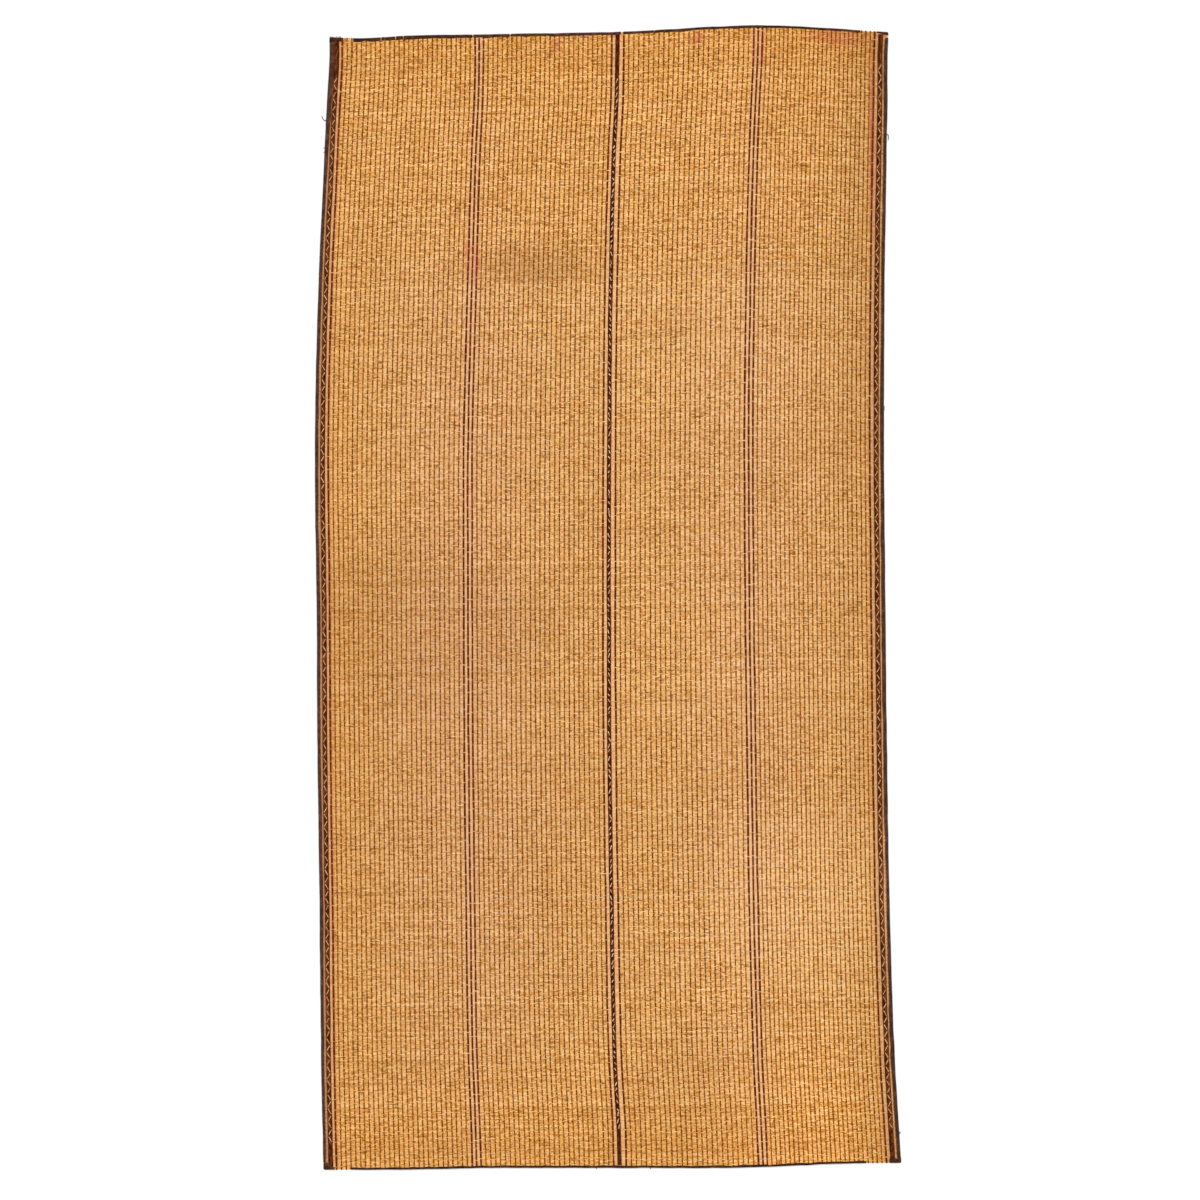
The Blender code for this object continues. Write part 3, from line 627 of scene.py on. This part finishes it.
def leather(name, deep, mid, worn, red=0.5, shine=0.03, rough=0.66, inner=None):
    """A leather finish from its deep, usual and worn colours, with a tint for the part that is further in."""
    material = bpy.data.materials.new(name)
    material.use_nodes = True
    tree = material.node_tree
    place = node(tree, "TexCoord").outputs["Object"]
    strand = node(tree, "Attribute", {"attribute_name": "strand"}).outputs["Fac"]
    grain = use(tree, leather_grain, Place=place, Strand=strand)
    aged_and_painted_light = use(tree, ageing_and_painted_light, Place=place)
    tone = maths(tree, "MULTIPLY_ADD", aged_and_painted_light["Tone_and_painted_light"], 0.3, grain["Tone"], clamp=True)
    tones = node(tree, "ValToRGB", Fac=tone)
    for k, (stop, colour) in enumerate(((0.12, deep), (0.5, mid), (0.92, worn))):
        mark = tones.color_ramp.elements[k] if k < 2 else tones.color_ramp.elements.new(stop)
        mark.position = stop
        mark.color = (*colour, 1.0)
    dyed = maths(tree, "MULTIPLY", aged_and_painted_light["Red"], red)
    colour = blend(tree, dyed, tones.outputs["Color"], (0.17, 0.012, 0.008, 1.0))
    # On the bindings the part left untinted at the rim is partly wear and partly a painted grey highlight.
    if inner:
        into = node(tree, "Attribute", {"attribute_name": "into"}).outputs["Fac"]
        colour = blend(tree, ease_between(tree, into, 0.30, 0.75), colour, (*inner, 1.0), "MULTIPLY")
    shader = tree.nodes["Principled BSDF"]
    plug(tree, shader.inputs["Base Color"], colour)
    shader.inputs["Specular IOR Level"].default_value = shine
    worn_smooth = ease_between(tree, grain["Tone"], 0.2, 0.8, rough + 0.1, rough - 0.1)
    plug(tree, shader.inputs["Roughness"], worn_smooth)
    relief = node(tree, "Bump", Height=grain["Height"], Strength=0.45, Distance=0.3 * MM)
    plug(tree, shader.inputs["Normal"], relief.outputs["Normal"])
    return material


def woven(middles, width, crest, floats):
    """Thongs that go under one reed between floats over several, at uneven places, as rings of strands."""
    strands = len(middles)
    under = np.arange(floats) + chance.uniform(0.2, 0.8, (strands, 1))
    under = under + chance.uniform(-0.2, 0.2, (strands, floats))
    under = (under * REED_COUNT / floats).astype(int)
    reed_size = reed_edges[under + 1] - reed_edges[under]
    along = reed_middles[under][:, :, None] + reed_size[:, :, None] * DIP
    along = along.reshape(strands, -1)
    along = np.pad(along, ((0, 0), (1, 1)), constant_values=((0, 0), (inset, 1 - inset)))
    low = np.tile((OVER_REED, UNDER_REED, UNDER_REED, OVER_REED), floats)
    low = np.pad(low, 1, constant_values=OVER_REED)
    x, y = on_mat(middles[:, None], along)
    x = x + wander(strands, along * MEAN_LENGTH, 0.16, 0.5 * MM)
    widths = width * (1 + wander(strands, along * MEAN_LENGTH, 0.03, 0.10))
    rings = np.empty((*x.shape, len(STRIP), 3))
    for side, (out, up) in enumerate(STRIP):
        rings[:, :, side, 0] = x + out * widths
        rings[:, :, side, 1] = y
        rings[:, :, side, 2] = low + up * crest
    return rings


plain_leather = leather("plain_thong_leather",
                        (0.105, 0.022, 0.002), (0.190, 0.046, 0.003), (0.33, 0.110, 0.012))
STRIP = np.array(((-0.5, 0.0), (-0.36, 1.0), (0.36, 1.0), (0.5, 0.0)))
thong_number = 0
for field in FIELDS:
    spacing = (field.last - field.first) / (field.thongs + 1)
    middles = field.first + spacing * np.arange(1, field.thongs + 1)
    numbers = thong_number + np.arange(field.thongs)
    thong_number += field.thongs
    name = "plain_thongs_" + field.name
    rings = woven(middles, PLAIN_WIDTH, PLAIN_CREST, PLAIN_FLOATS)
    mesh = loft(name, rings, folds=4, strand=numbers[:, None, None])
    dress(name, mesh, plain_leather, "dark_leather", "reed_panel")

# The ten dark thongs: wider strips of darker leather, woven in with longer floats, over about twelve reeds
# each. One runs beside each border band and each side of the middle band, and three along each quarter line.
DARK_WIDTH = 8.2 * MM
DARK_CREST = 1.05 * MM
DARK_FLOATS = 100
DARK_THONGS = (
    ("left_border", LEFT_DARK),
    ("left_outer", MIDDLE.left_triple - TRIPLE_SPACING),
    ("left_middle", MIDDLE.left_triple),
    ("left_inner", MIDDLE.left_triple + TRIPLE_SPACING),
    ("centre_left", MIDDLE.centre - CENTRE_PAIR_OFFSET),
    ("centre_right", MIDDLE.centre + CENTRE_PAIR_OFFSET),
    ("right_inner", MIDDLE.right_triple - TRIPLE_SPACING),
    ("right_middle", MIDDLE.right_triple),
    ("right_outer", MIDDLE.right_triple + TRIPLE_SPACING),
    ("right_border", RIGHT_DARK),
)
dark_leather = leather("dark_thong_leather",
                       (0.060, 0.009, 0.001), (0.115, 0.018, 0.002), (0.19, 0.042, 0.007), red=0.8)
for number, (name, middle) in enumerate(DARK_THONGS):
    rings = woven(np.array([middle]), DARK_WIDTH, DARK_CREST, DARK_FLOATS)
    mesh = loft("dark_thong_" + name, rings, folds=12, strand=200.0 + number)
    dress("dark_thong_" + name, mesh, dark_leather, "dark_leather", "dark_thong_" + name)

# The three bands: each is a strip of dark leather with four narrow thongs woven over it, and a lighter thong
# laced on top, in a zigzag at the borders and in short slants on the middle band. The lace stops short of the
# mat's ends.
BAND_BASE_LOW = 4.85 * MM
BAND_BASE_HIGH = 5.3 * MM
BAND_THONGS = 4
BAND_THONG_LOW = 5.1 * MM
BAND_THONG_HIGH = 5.65 * MM
BAND_THONG_CREST = 0.8 * MM
CENTRE_BAND_WIDTH = 18.5 * MM
CENTRE_BAND_SHIFT = -1.5 * MM
CENTRE_LACE_REACH = 5.0 * MM
CENTRE_LACE_WIDTH = 3.8 * MM
LACE_HEIGHT = 6.05 * MM
LACE_CREST = 0.8 * MM
LACE_DIP = 1.7 * MM
LACE_STEPS = 8
LACE_WIDTH = 3.2 * MM
LACE_SWING = 7.0 * MM
LACE_PITCH = 61.0 * MM
STITCH_PITCH = 28.0 * MM
band_leather = leather("woven_band_leather",
                       (0.018, 0.003, 0.001), (0.064, 0.011, 0.002), (0.21, 0.062, 0.013))
pale_leather = leather("laced_thong_leather",
                       (0.42, 0.17, 0.065), (0.72, 0.38, 0.180), (0.92, 0.62, 0.38), red=0.2)
bright_leather = leather("bright_lace_leather",
                         (0.26, 0.095, 0.034), (0.68, 0.36, 0.175), (0.92, 0.63, 0.40))
BAND_END_INSET = 8.0 * MM
band_rows = reed_edges[::3]
band_rows = band_rows[np.abs(band_rows - 0.5) < 0.5 - BAND_END_INSET / MEAN_LENGTH]


def band_weave(middle, width):
    """The base strip of a band and the thongs woven over it, as the rings of four-sided strands."""
    x, y = on_mat(middle, band_rows[None, :])
    thong_width = width / BAND_THONGS
    cross_section = np.array(((-0.5, 0.0), (-0.46, 1.0), (0.46, 1.0), (0.5, 0.0)))
    offsets = np.concatenate([[0.0], (np.arange(BAND_THONGS) - (BAND_THONGS - 1) / 2) * thong_width])
    widths = np.concatenate([[width], np.full(BAND_THONGS, thong_width * 1.06)])
    rings = np.empty((BAND_THONGS + 1, len(band_rows), len(cross_section), 3))
    sway = wander(1, band_rows * MEAN_LENGTH, 0.12, 0.5 * MM)[0]
    for strand in range(BAND_THONGS + 1):
        over = (np.arange(len(band_rows)) + strand) % 2 == 0
        low = np.where(over, BAND_THONG_HIGH, BAND_THONG_LOW) if strand else BAND_BASE_LOW
        high = low + (BAND_THONG_CREST if strand else BAND_BASE_HIGH - BAND_BASE_LOW)
        narrow = 0.72 if strand else 0.96
        for side, (out, up) in enumerate(cross_section):
            out = out * (narrow if up else 1.0)
            rings[strand, :, side, 0] = x[0] + offsets[strand] + sway + out * widths[strand]
            rings[strand, :, side, 1] = y[0]
            rings[strand, :, side, 2] = high if up else low
    return rings


def laid_strands(paths, width, crest):
    """Thin flat strips along paths of X, Y and Z."""
    runs = np.gradient(paths, axis=1)
    aside = np.stack([runs[..., 1], -runs[..., 0]], axis=-1)
    aside /= np.linalg.norm(aside, axis=-1, keepdims=True)
    rings = np.repeat(paths[:, :, None, :], len(STRIP), axis=2)
    for side, (out, up) in enumerate(STRIP):
        rings[:, :, side, :2] += out * width * aside
        rings[:, :, side, 2] += up * crest
    return rings


def along_from(end, distance):
    """The share along the mat that lies a distance inwards from one end."""
    return distance / MEAN_LENGTH if end == "near" else 1 - distance / MEAN_LENGTH


Lacing = namedtuple("Lacing", "side start stop")
for border, lacing in zip(BORDERS, (Lacing("left", 0.118, 0.172), Lacing("right", 0.150, 0.140))):
    middle = border.outer + border.inward * border.band_middle
    name = "woven_band_" + border.side
    mesh = loft(name, band_weave(middle, border.band_width), folds=8,
                strand=300.0 + 10 * border.inward + np.arange(BAND_THONGS + 1)[:, None, None])
    dress(name, mesh, band_leather, "woven_leather", name)

    start, stop = along_from("near", lacing.start), along_from("far", lacing.stop)
    turns = 2 * round((stop - start) * MEAN_LENGTH / LACE_PITCH)
    steps = np.arange(turns * LACE_STEPS + 1) / LACE_STEPS
    turn = steps + wander(1, steps, 1.0, 0.10)[0]
    swing = np.clip(1.2 * (2 * np.abs(turn % 2 - 1) - 1), -1, 1)
    x, y = on_mat(middle + swing * LACE_SWING, start + (stop - start) * turn / turns)
    z = LACE_HEIGHT - LACE_DIP * np.abs(swing) ** 8
    path = np.stack([x, y, z], axis=-1)[None]
    mesh = loft("laced_thong_" + border.side, laid_strands(path, LACE_WIDTH, LACE_CREST), folds=20,
                strand=340.0 + border.inward)
    dress("laced_thong_" + border.side, mesh, pale_leather, "woven_leather", name)

centre_line = MIDDLE.centre + CENTRE_BAND_SHIFT
mesh = loft("woven_band_centre", band_weave(centre_line, CENTRE_BAND_WIDTH), folds=8,
            strand=360.0 + np.arange(BAND_THONGS + 1)[:, None, None])
dress("woven_band_centre", mesh, band_leather, "woven_leather", "woven_band_centre")
CENTRE_LACING = Lacing("centre", 0.175, 0.192)
start, stop = along_from("near", CENTRE_LACING.start), along_from("far", CENTRE_LACING.stop)
slants = []
while len(slants) < (stop - start) * MEAN_LENGTH / STITCH_PITCH:
    slants += [(-1) ** len(slants)] * int(chance.integers(3, 5))
slants = np.array(slants)
count = len(slants)
starts = start + (stop - start) * (np.arange(count) + chance.uniform(-0.22, 0.22, count)) / count
reach = np.sin(np.linspace(-0.5, 0.5, 9) * np.pi)
tall = STITCH_PITCH * chance.uniform(0.35, 0.90, count)[:, None] / MEAN_LENGTH / 2
broad = CENTRE_LACE_REACH * chance.uniform(0.5, 1.0, count)[:, None]
aside = chance.uniform(-2.2 * MM, 2.2 * MM, count)[:, None]
x, y = on_mat(centre_line + aside + slants[:, None] * reach * broad, starts[:, None] + reach * tall)
z = np.broadcast_to(LACE_HEIGHT - LACE_DIP * np.abs(reach) ** 6, x.shape)
paths = np.stack([x, y, z], axis=-1)
mesh = loft("laced_thong_centre", laid_strands(paths, CENTRE_LACE_WIDTH, LACE_CREST),
            strand=380.0 + np.arange(count)[:, None, None])
dress("laced_thong_centre", mesh, bright_leather, "woven_leather", "woven_band_centre")

# The side bindings: a long strip of dark leather on each side, folded over the reed ends from the top round
# to the underside and sewn down with slanting stitches of thin thong.
# Each point of the fold is a share of its depth in from the rim, and a height in millimetres.
FOLD = ((1.0, 5.7), (0.92, 6.3), (0.40, 6.5), (0.10, 5.9), (0.0, 3.4), (0.10, 0.7), (0.42, 0.05), (0.94, 0.1),
        (0.94, 1.0), (0.22, 1.3), (0.12, 3.2), (0.22, 4.85), (0.93, 5.1))
BINDING_STEP = 12.5 * MM
FOLD_INTO = np.array([into for into, height in FOLD])
# The rim of the binding keeps these greyish colours, partly wear and partly a painted grey highlight on the
# rounded outer side of the fold; the inner tint turns the faces further in red-brown.
binding_leather = leather("binding_leather",
                          (0.022, 0.013, 0.008), (0.046, 0.026, 0.016), (0.100, 0.057, 0.035),
                          shine=0.1, rough=0.66, inner=(1.6, 0.76, 0.62))
stitch_leather = leather("stitch_leather", (0.030, 0.010, 0.005), (0.070, 0.024, 0.012), (0.13, 0.06, 0.035))


def folded(rim, inward, depths, swell=0.0):
    """Leather folded round a rim, from the rim's points, the unit way in and its reach inwards."""
    rings = np.empty((1, len(rim), len(FOLD), 3))
    for side, (into, height) in enumerate(FOLD):
        stray = swell * np.sin(side * 1.7)
        rings[0, :, side, :2] = rim + inward * (into * depths + stray)[:, None]
        rings[0, :, side, 2] = height * MM
    return rings


BINDING_ENDS = {"left": (32 * MM, 19 * MM), "right": (21 * MM, 25 * MM)}
SWELL_REACH = 0.07
STITCH_INSET_SHARE = 0.004
STITCH_STEP = 17 * MM
STITCH_STRAY_SHARE = 0.0004
STITCH_SLANT = 6 * MM
STITCH_WIDTH = 1.8 * MM
STITCH_CREST = 0.5 * MM
STITCH_INTO = np.array((1.10, 0.80, 0.35, 0.06))
STITCH_ALONG = np.array((0.0, 0.25, 0.7, 1.0))
STITCH_HEIGHTS = np.array((4.9, 6.35, 6.55, 5.2)) * MM
for border in BORDERS:
    near_end, far_end = BINDING_ENDS[border.side]
    first = along_from("near", near_end + 0.5 * MM)
    last = along_from("far", far_end + 0.5 * MM)
    rows = np.linspace(first, last, int(MEAN_LENGTH / BINDING_STEP))
    x, y = on_mat(border.outer, rows)
    x = x + wander(1, rows * MEAN_LENGTH, 0.07, 0.4 * MM)[0]
    depths = border.binding * (1 + wander(1, rows * MEAN_LENGTH, 0.05, 0.05)[0])
    depths = depths * (1 + wander(1, rows * MEAN_LENGTH, 0.35, 0.10)[0])
    depths = depths + border.far_swell * np.exp(-((last - rows) / SWELL_REACH) ** 2)
    way_in = np.broadcast_to((float(border.inward), 0.0), (len(rows), 2))
    swell = wander(1, rows * MEAN_LENGTH, 0.04, 0.25 * MM)[0]
    name = "side_binding_" + border.side
    mesh = loft(name, folded(np.stack([x, y], axis=-1), way_in, depths, swell), folds=20,
                strand=400.0 + border.inward, into=FOLD_INTO)
    dress(name, mesh, binding_leather, "rim_leather", name)

    stitches = np.arange(first + STITCH_INSET_SHARE, last - STITCH_INSET_SHARE, STITCH_STEP / MEAN_LENGTH)
    stitches = stitches + chance.uniform(-STITCH_STRAY_SHARE, STITCH_STRAY_SHARE, len(stitches))
    into = STITCH_INTO * border.binding
    slant = STITCH_ALONG * STITCH_SLANT / MEAN_LENGTH
    x, y = on_mat(border.outer + border.inward * into[None, :], stitches[:, None] + slant[None, :])
    x = np.clip(x, cad_low.x, cad_high.x)
    z = np.broadcast_to(STITCH_HEIGHTS, x.shape)
    paths = np.stack([x, y, z], axis=-1)
    mesh = loft("binding_stitches_" + border.side, laid_strands(paths, STITCH_WIDTH, STITCH_CREST),
                strand=410.0 + np.arange(len(stitches))[:, None, None])
    dress("binding_stitches_" + border.side, mesh, stitch_leather, "rim_leather", name)

# The end bindings: dark leather folded over the last reeds of each end. The far one is worn through in a few
# places, and short lengths of reed show between both of them and the corners.
Gap = namedtuple("Gap", "x width")
WORN_GAPS = (
    Gap(-1.042, 5 * MM), Gap(-1.024, 4 * MM), Gap(-0.977, 5 * MM), Gap(-0.942, 4 * MM),
    Gap(-0.637, 5 * MM), Gap(-0.472, 5 * MM), Gap(0.024, 11 * MM), Gap(0.163, 5 * MM),
)
EndTrim = namedtuple("EndTrim", "name depth_left depth_right strip_left strip_right gaps")
END_TRIMS = (
    EndTrim("near", 10 * MM, 10 * MM, 116 * MM, 150 * MM, ()),
    EndTrim("far", 16 * MM, 9.5 * MM, 105 * MM, 127 * MM, WORN_GAPS),
)
end_leather = leather("end_binding_leather",
                      (0.018, 0.006, 0.002), (0.046, 0.014, 0.005), (0.11, 0.042, 0.018),
                      shine=0.1, rough=0.66)
END_STEP = 6 * MM
for trim in END_TRIMS:
    starts = [MIDDLE.left_edge + trim.strip_left, *(gap.x + gap.width / 2 for gap in trim.gaps)]
    stops = [*(gap.x - gap.width / 2 for gap in trim.gaps), MIDDLE.right_edge - trim.strip_right]
    way = 1.0 if trim.name == "near" else -1.0
    for number, (start, stop) in enumerate(zip(starts, stops)):
        columns = np.linspace(start, stop, max(3, int((stop - start) / END_STEP)))
        x, y = on_mat(columns, 0.0 if trim.name == "near" else 1.0)
        y = y + wander(1, columns, 0.05, 0.5 * MM)[0]
        share = (columns - MIDDLE.left_edge) / (MIDDLE.right_edge - MIDDLE.left_edge)
        depths = trim.depth_left + (trim.depth_right - trim.depth_left) * share
        depths = depths * (1 + wander(1, columns, 0.03, 0.10)[0])
        way_in = np.broadcast_to((0.0, way), (len(columns), 2))
        name = "end_binding_" + trim.name + (f"_{number + 1}" if trim.gaps else "")
        rings = folded(np.stack([x, y], axis=-1), way_in, depths)
        mesh = loft(name, rings, folds=6 if len(columns) > 60 else 1, strand=430.0 + number)
        dress(name, mesh, end_leather, "rim_leather", "end_binding_" + trim.name)

# The corner wraps: a short piece of leather folded over each corner, past the end of the border band.
Corner = namedtuple("Corner", "end side reach outer_depth inner_depth")
CORNERS = (
    Corner("near", "left", 48 * MM, 32 * MM, 12 * MM),
    Corner("near", "right", 50 * MM, 21 * MM, 20 * MM),
    Corner("far", "left", 52 * MM, 19 * MM, 18 * MM),
    Corner("far", "right", 52 * MM, 12 * MM, 7 * MM),
)
WRAP_SHAPE = (
    (1.0, 5.6), (0.97, 6.7), (0.5, 7.0), (0.10, 6.3), (0.0, 3.5), (0.10, 0.5), (0.5, 0.02), (1.0, 0.05),
)
WRAP_MIDDLE = 3.3
ROUNDING = 5 * MM
for number, corner in enumerate(CORNERS):
    border = BORDERS[0] if corner.side == "left" else BORDERS[1]
    rounded = ROUNDING * np.array((0.7, 0.42, 0.2, 0.06, 0.0))
    out = np.concatenate([np.linspace(corner.reach, ROUNDING, 9), rounded])
    x, y = on_mat(border.outer + border.inward * out, 0.0 if corner.end == "near" else 1.0)
    way = 1.0 if corner.end == "near" else -1.0
    curve = ROUNDING - np.sqrt(np.maximum(ROUNDING ** 2 - np.maximum(ROUNDING - out, 0) ** 2, 0))
    flat = np.where(out < ROUNDING, np.sqrt(np.maximum(1 - ((ROUNDING - out) / ROUNDING) ** 2, 0.04)), 1.0)
    further_in = np.clip(out / corner.reach * 2 - 0.8, 0, 1)
    depths = corner.outer_depth + (corner.inner_depth - corner.outer_depth) * further_in
    depths = depths * (1 + wander(1, out, 0.012, 0.05)[0])
    rings = np.empty((1, len(out), len(WRAP_SHAPE), 3))
    for side, (into, height) in enumerate(WRAP_SHAPE):
        rings[0, :, side, 0] = x
        rings[0, :, side, 1] = y + way * (curve + into * (depths - curve))
        rings[0, :, side, 2] = (WRAP_MIDDLE + (height - WRAP_MIDDLE) * flat) * MM
    name = f"corner_wrap_{corner.end}_{corner.side}"
    mesh = loft(name, rings, strand=450.0 + number)
    dress(name, mesh, end_leather, "rim_leather", name)

# Thong ends: where the end binding is missing, the woven leather thongs are turned over the last reed and
# tucked under it. They show as dark marks at the rim.
SHORT_FOLD = 9.0 * MM
DARK_END_WIDTH = 6.5 * MM
PLAIN_END_WIDTH = 5.0 * MM
thong_ends = []
for trim in END_TRIMS:
    way = 1.0 if trim.name == "near" else -1.0
    bare_strips = (trim.strip_left, trim.strip_right)
    for border, strip, field in zip(BORDERS, bare_strips, (FIELDS[0], FIELDS[3])):
        spacing = (field.last - field.first) / (field.thongs + 1)
        distances = border.dark_thong + spacing * np.arange(int((strip - border.dark_thong) / spacing) + 1)
        for distance in distances:
            width = DARK_END_WIDTH if distance == border.dark_thong else PLAIN_END_WIDTH
            columns = border.outer + border.inward * distance + np.array((-0.5, 0.0, 0.5)) * width
            x, y = on_mat(columns, 0.0 if trim.name == "near" else 1.0)
            depths = np.full(3, SHORT_FOLD * chance.uniform(0.7, 1.1))
            way_in = np.broadcast_to((0.0, way), (3, 2))
            thong_ends.append(folded(np.stack([x, y], axis=-1), way_in, depths))
mesh = loft("thong_ends", np.concatenate(thong_ends),
            strand=470.0 + np.arange(len(thong_ends))[:, None, None])
dress("thong_ends", mesh, dark_leather, "dark_leather", "reed_panel")

# Loose ends: on each side one thong has come out of the binding and stands off the rim. Each path gives in
# millimetres how far out from the rim and how far on from its root it goes.
LooseEnd = namedtuple("LooseEnd", "side along path")
LEFT_CURL = (
    (-2.5, -0.5), (0.6, 0), (4, 0), (7.2, 1.0), (10, 3.5), (13, 7.0), (15.5, 11), (17.4, 16), (18.5, 21),
)
RIGHT_CURL = (
    (-2.5, 0.5), (0.6, 0), (3.5, 0), (5.4, -2.6), (6.5, -6), (7.3, -10.5), (7.5, -15), (7, -20), (6, -25),
)
LOOSE_ENDS = (
    LooseEnd("left", 0.9264, LEFT_CURL),
    LooseEnd("right", 0.9098, RIGHT_CURL),
)
LOOSE_WIDTH = 3.0 * MM
LOOSE_CREST = 1.1 * MM
LOOSE_LOW = 2.1 * MM
LOOSE_RISE = 1.6 * MM
for end in LOOSE_ENDS:
    border = BORDERS[0] if end.side == "left" else BORDERS[1]
    x, y = on_mat(border.outer, end.along)
    path = np.array([(float(x) - border.inward * out * MM, float(y) + on * MM, 0.0) for out, on in end.path])
    lift = np.sin(np.linspace(0.0, np.pi, len(path)))
    path[:, 2] = LOOSE_LOW + LOOSE_RISE * lift
    rings = laid_strands(path[None], LOOSE_WIDTH, LOOSE_CREST)
    mesh = loft("loose_end_" + end.side, rings, strand=480.0 + border.inward)
    dress("loose_end_" + end.side, mesh, binding_leather, "rim_leather", "loose_end_" + end.side)

# Frayed bits: hairs of torn leather that stand out of the far left wrap, and short ends of stitches that show
# past the rim in a few places.
FRAYED_HAIRS = 14
HAIR_WIDTH = 1.1 * MM
SHRED_WIDTH = 2.4 * MM
BIT_CREST = 0.6 * MM
Bit = namedtuple("Bit", "node across along out_x out_y")
BITS = (
    Bit("side_binding_left", BORDERS[0].outer, 0.902, -6 * MM, 3 * MM),
    Bit("side_binding_left", BORDERS[0].outer, 0.899, -4 * MM, -4 * MM),
    Bit("side_binding_right", BORDERS[1].outer, 0.0272, 7 * MM, -2 * MM),
    Bit("side_binding_right", BORDERS[1].outer, 0.0258, 6 * MM, 3 * MM),
    Bit("side_binding_right", BORDERS[1].outer, 0.667, 4 * MM, -5 * MM),
    Bit("side_binding_right", BORDERS[1].outer, 0.668, 4 * MM, 5 * MM),
    Bit("end_binding_near", -0.098, 0.0, 3 * MM, -6 * MM),
    Bit("end_binding_near", 0.134, 0.0, -2 * MM, -5 * MM),
)
hair_at = BORDERS[0].outer + chance.uniform(2 * MM, CORNERS[2].reach, FRAYED_HAIRS)
HAIR_LEAST = (-4 * MM, 2 * MM)
HAIR_MOST = (4 * MM, 8 * MM)
hairs = [
    Bit("corner_wrap_far_left", across, 1.0, *chance.uniform(HAIR_LEAST, HAIR_MOST)) for across in hair_at
]
for node_name in sorted({bit.node for bit in (*BITS, *hairs)}):
    paths = []
    for bit in (bit for bit in (*BITS, *hairs) if bit.node == node_name):
        x, y = on_mat(bit.across, bit.along)
        steps = np.linspace(-0.6, 1.0, 5)
        bend = 0.15 * steps ** 2
        paths.append(np.stack([
            float(x) + bit.out_x * steps - bit.out_y * bend,
            float(y) + bit.out_y * steps + bit.out_x * bend,
            (3.6 - 1.2 * np.abs(steps)) * MM,
        ], axis=-1))
    name = "frayed_bits_" + node_name
    width = HAIR_WIDTH if node_name.startswith("corner") else SHRED_WIDTH
    rings = laid_strands(np.array(paths), width, BIT_CREST)
    mesh = loft(name, rings, strand=490.0 + np.arange(len(paths))[:, None, None])
    dress(name, mesh, end_leather, "rim_leather", node_name)
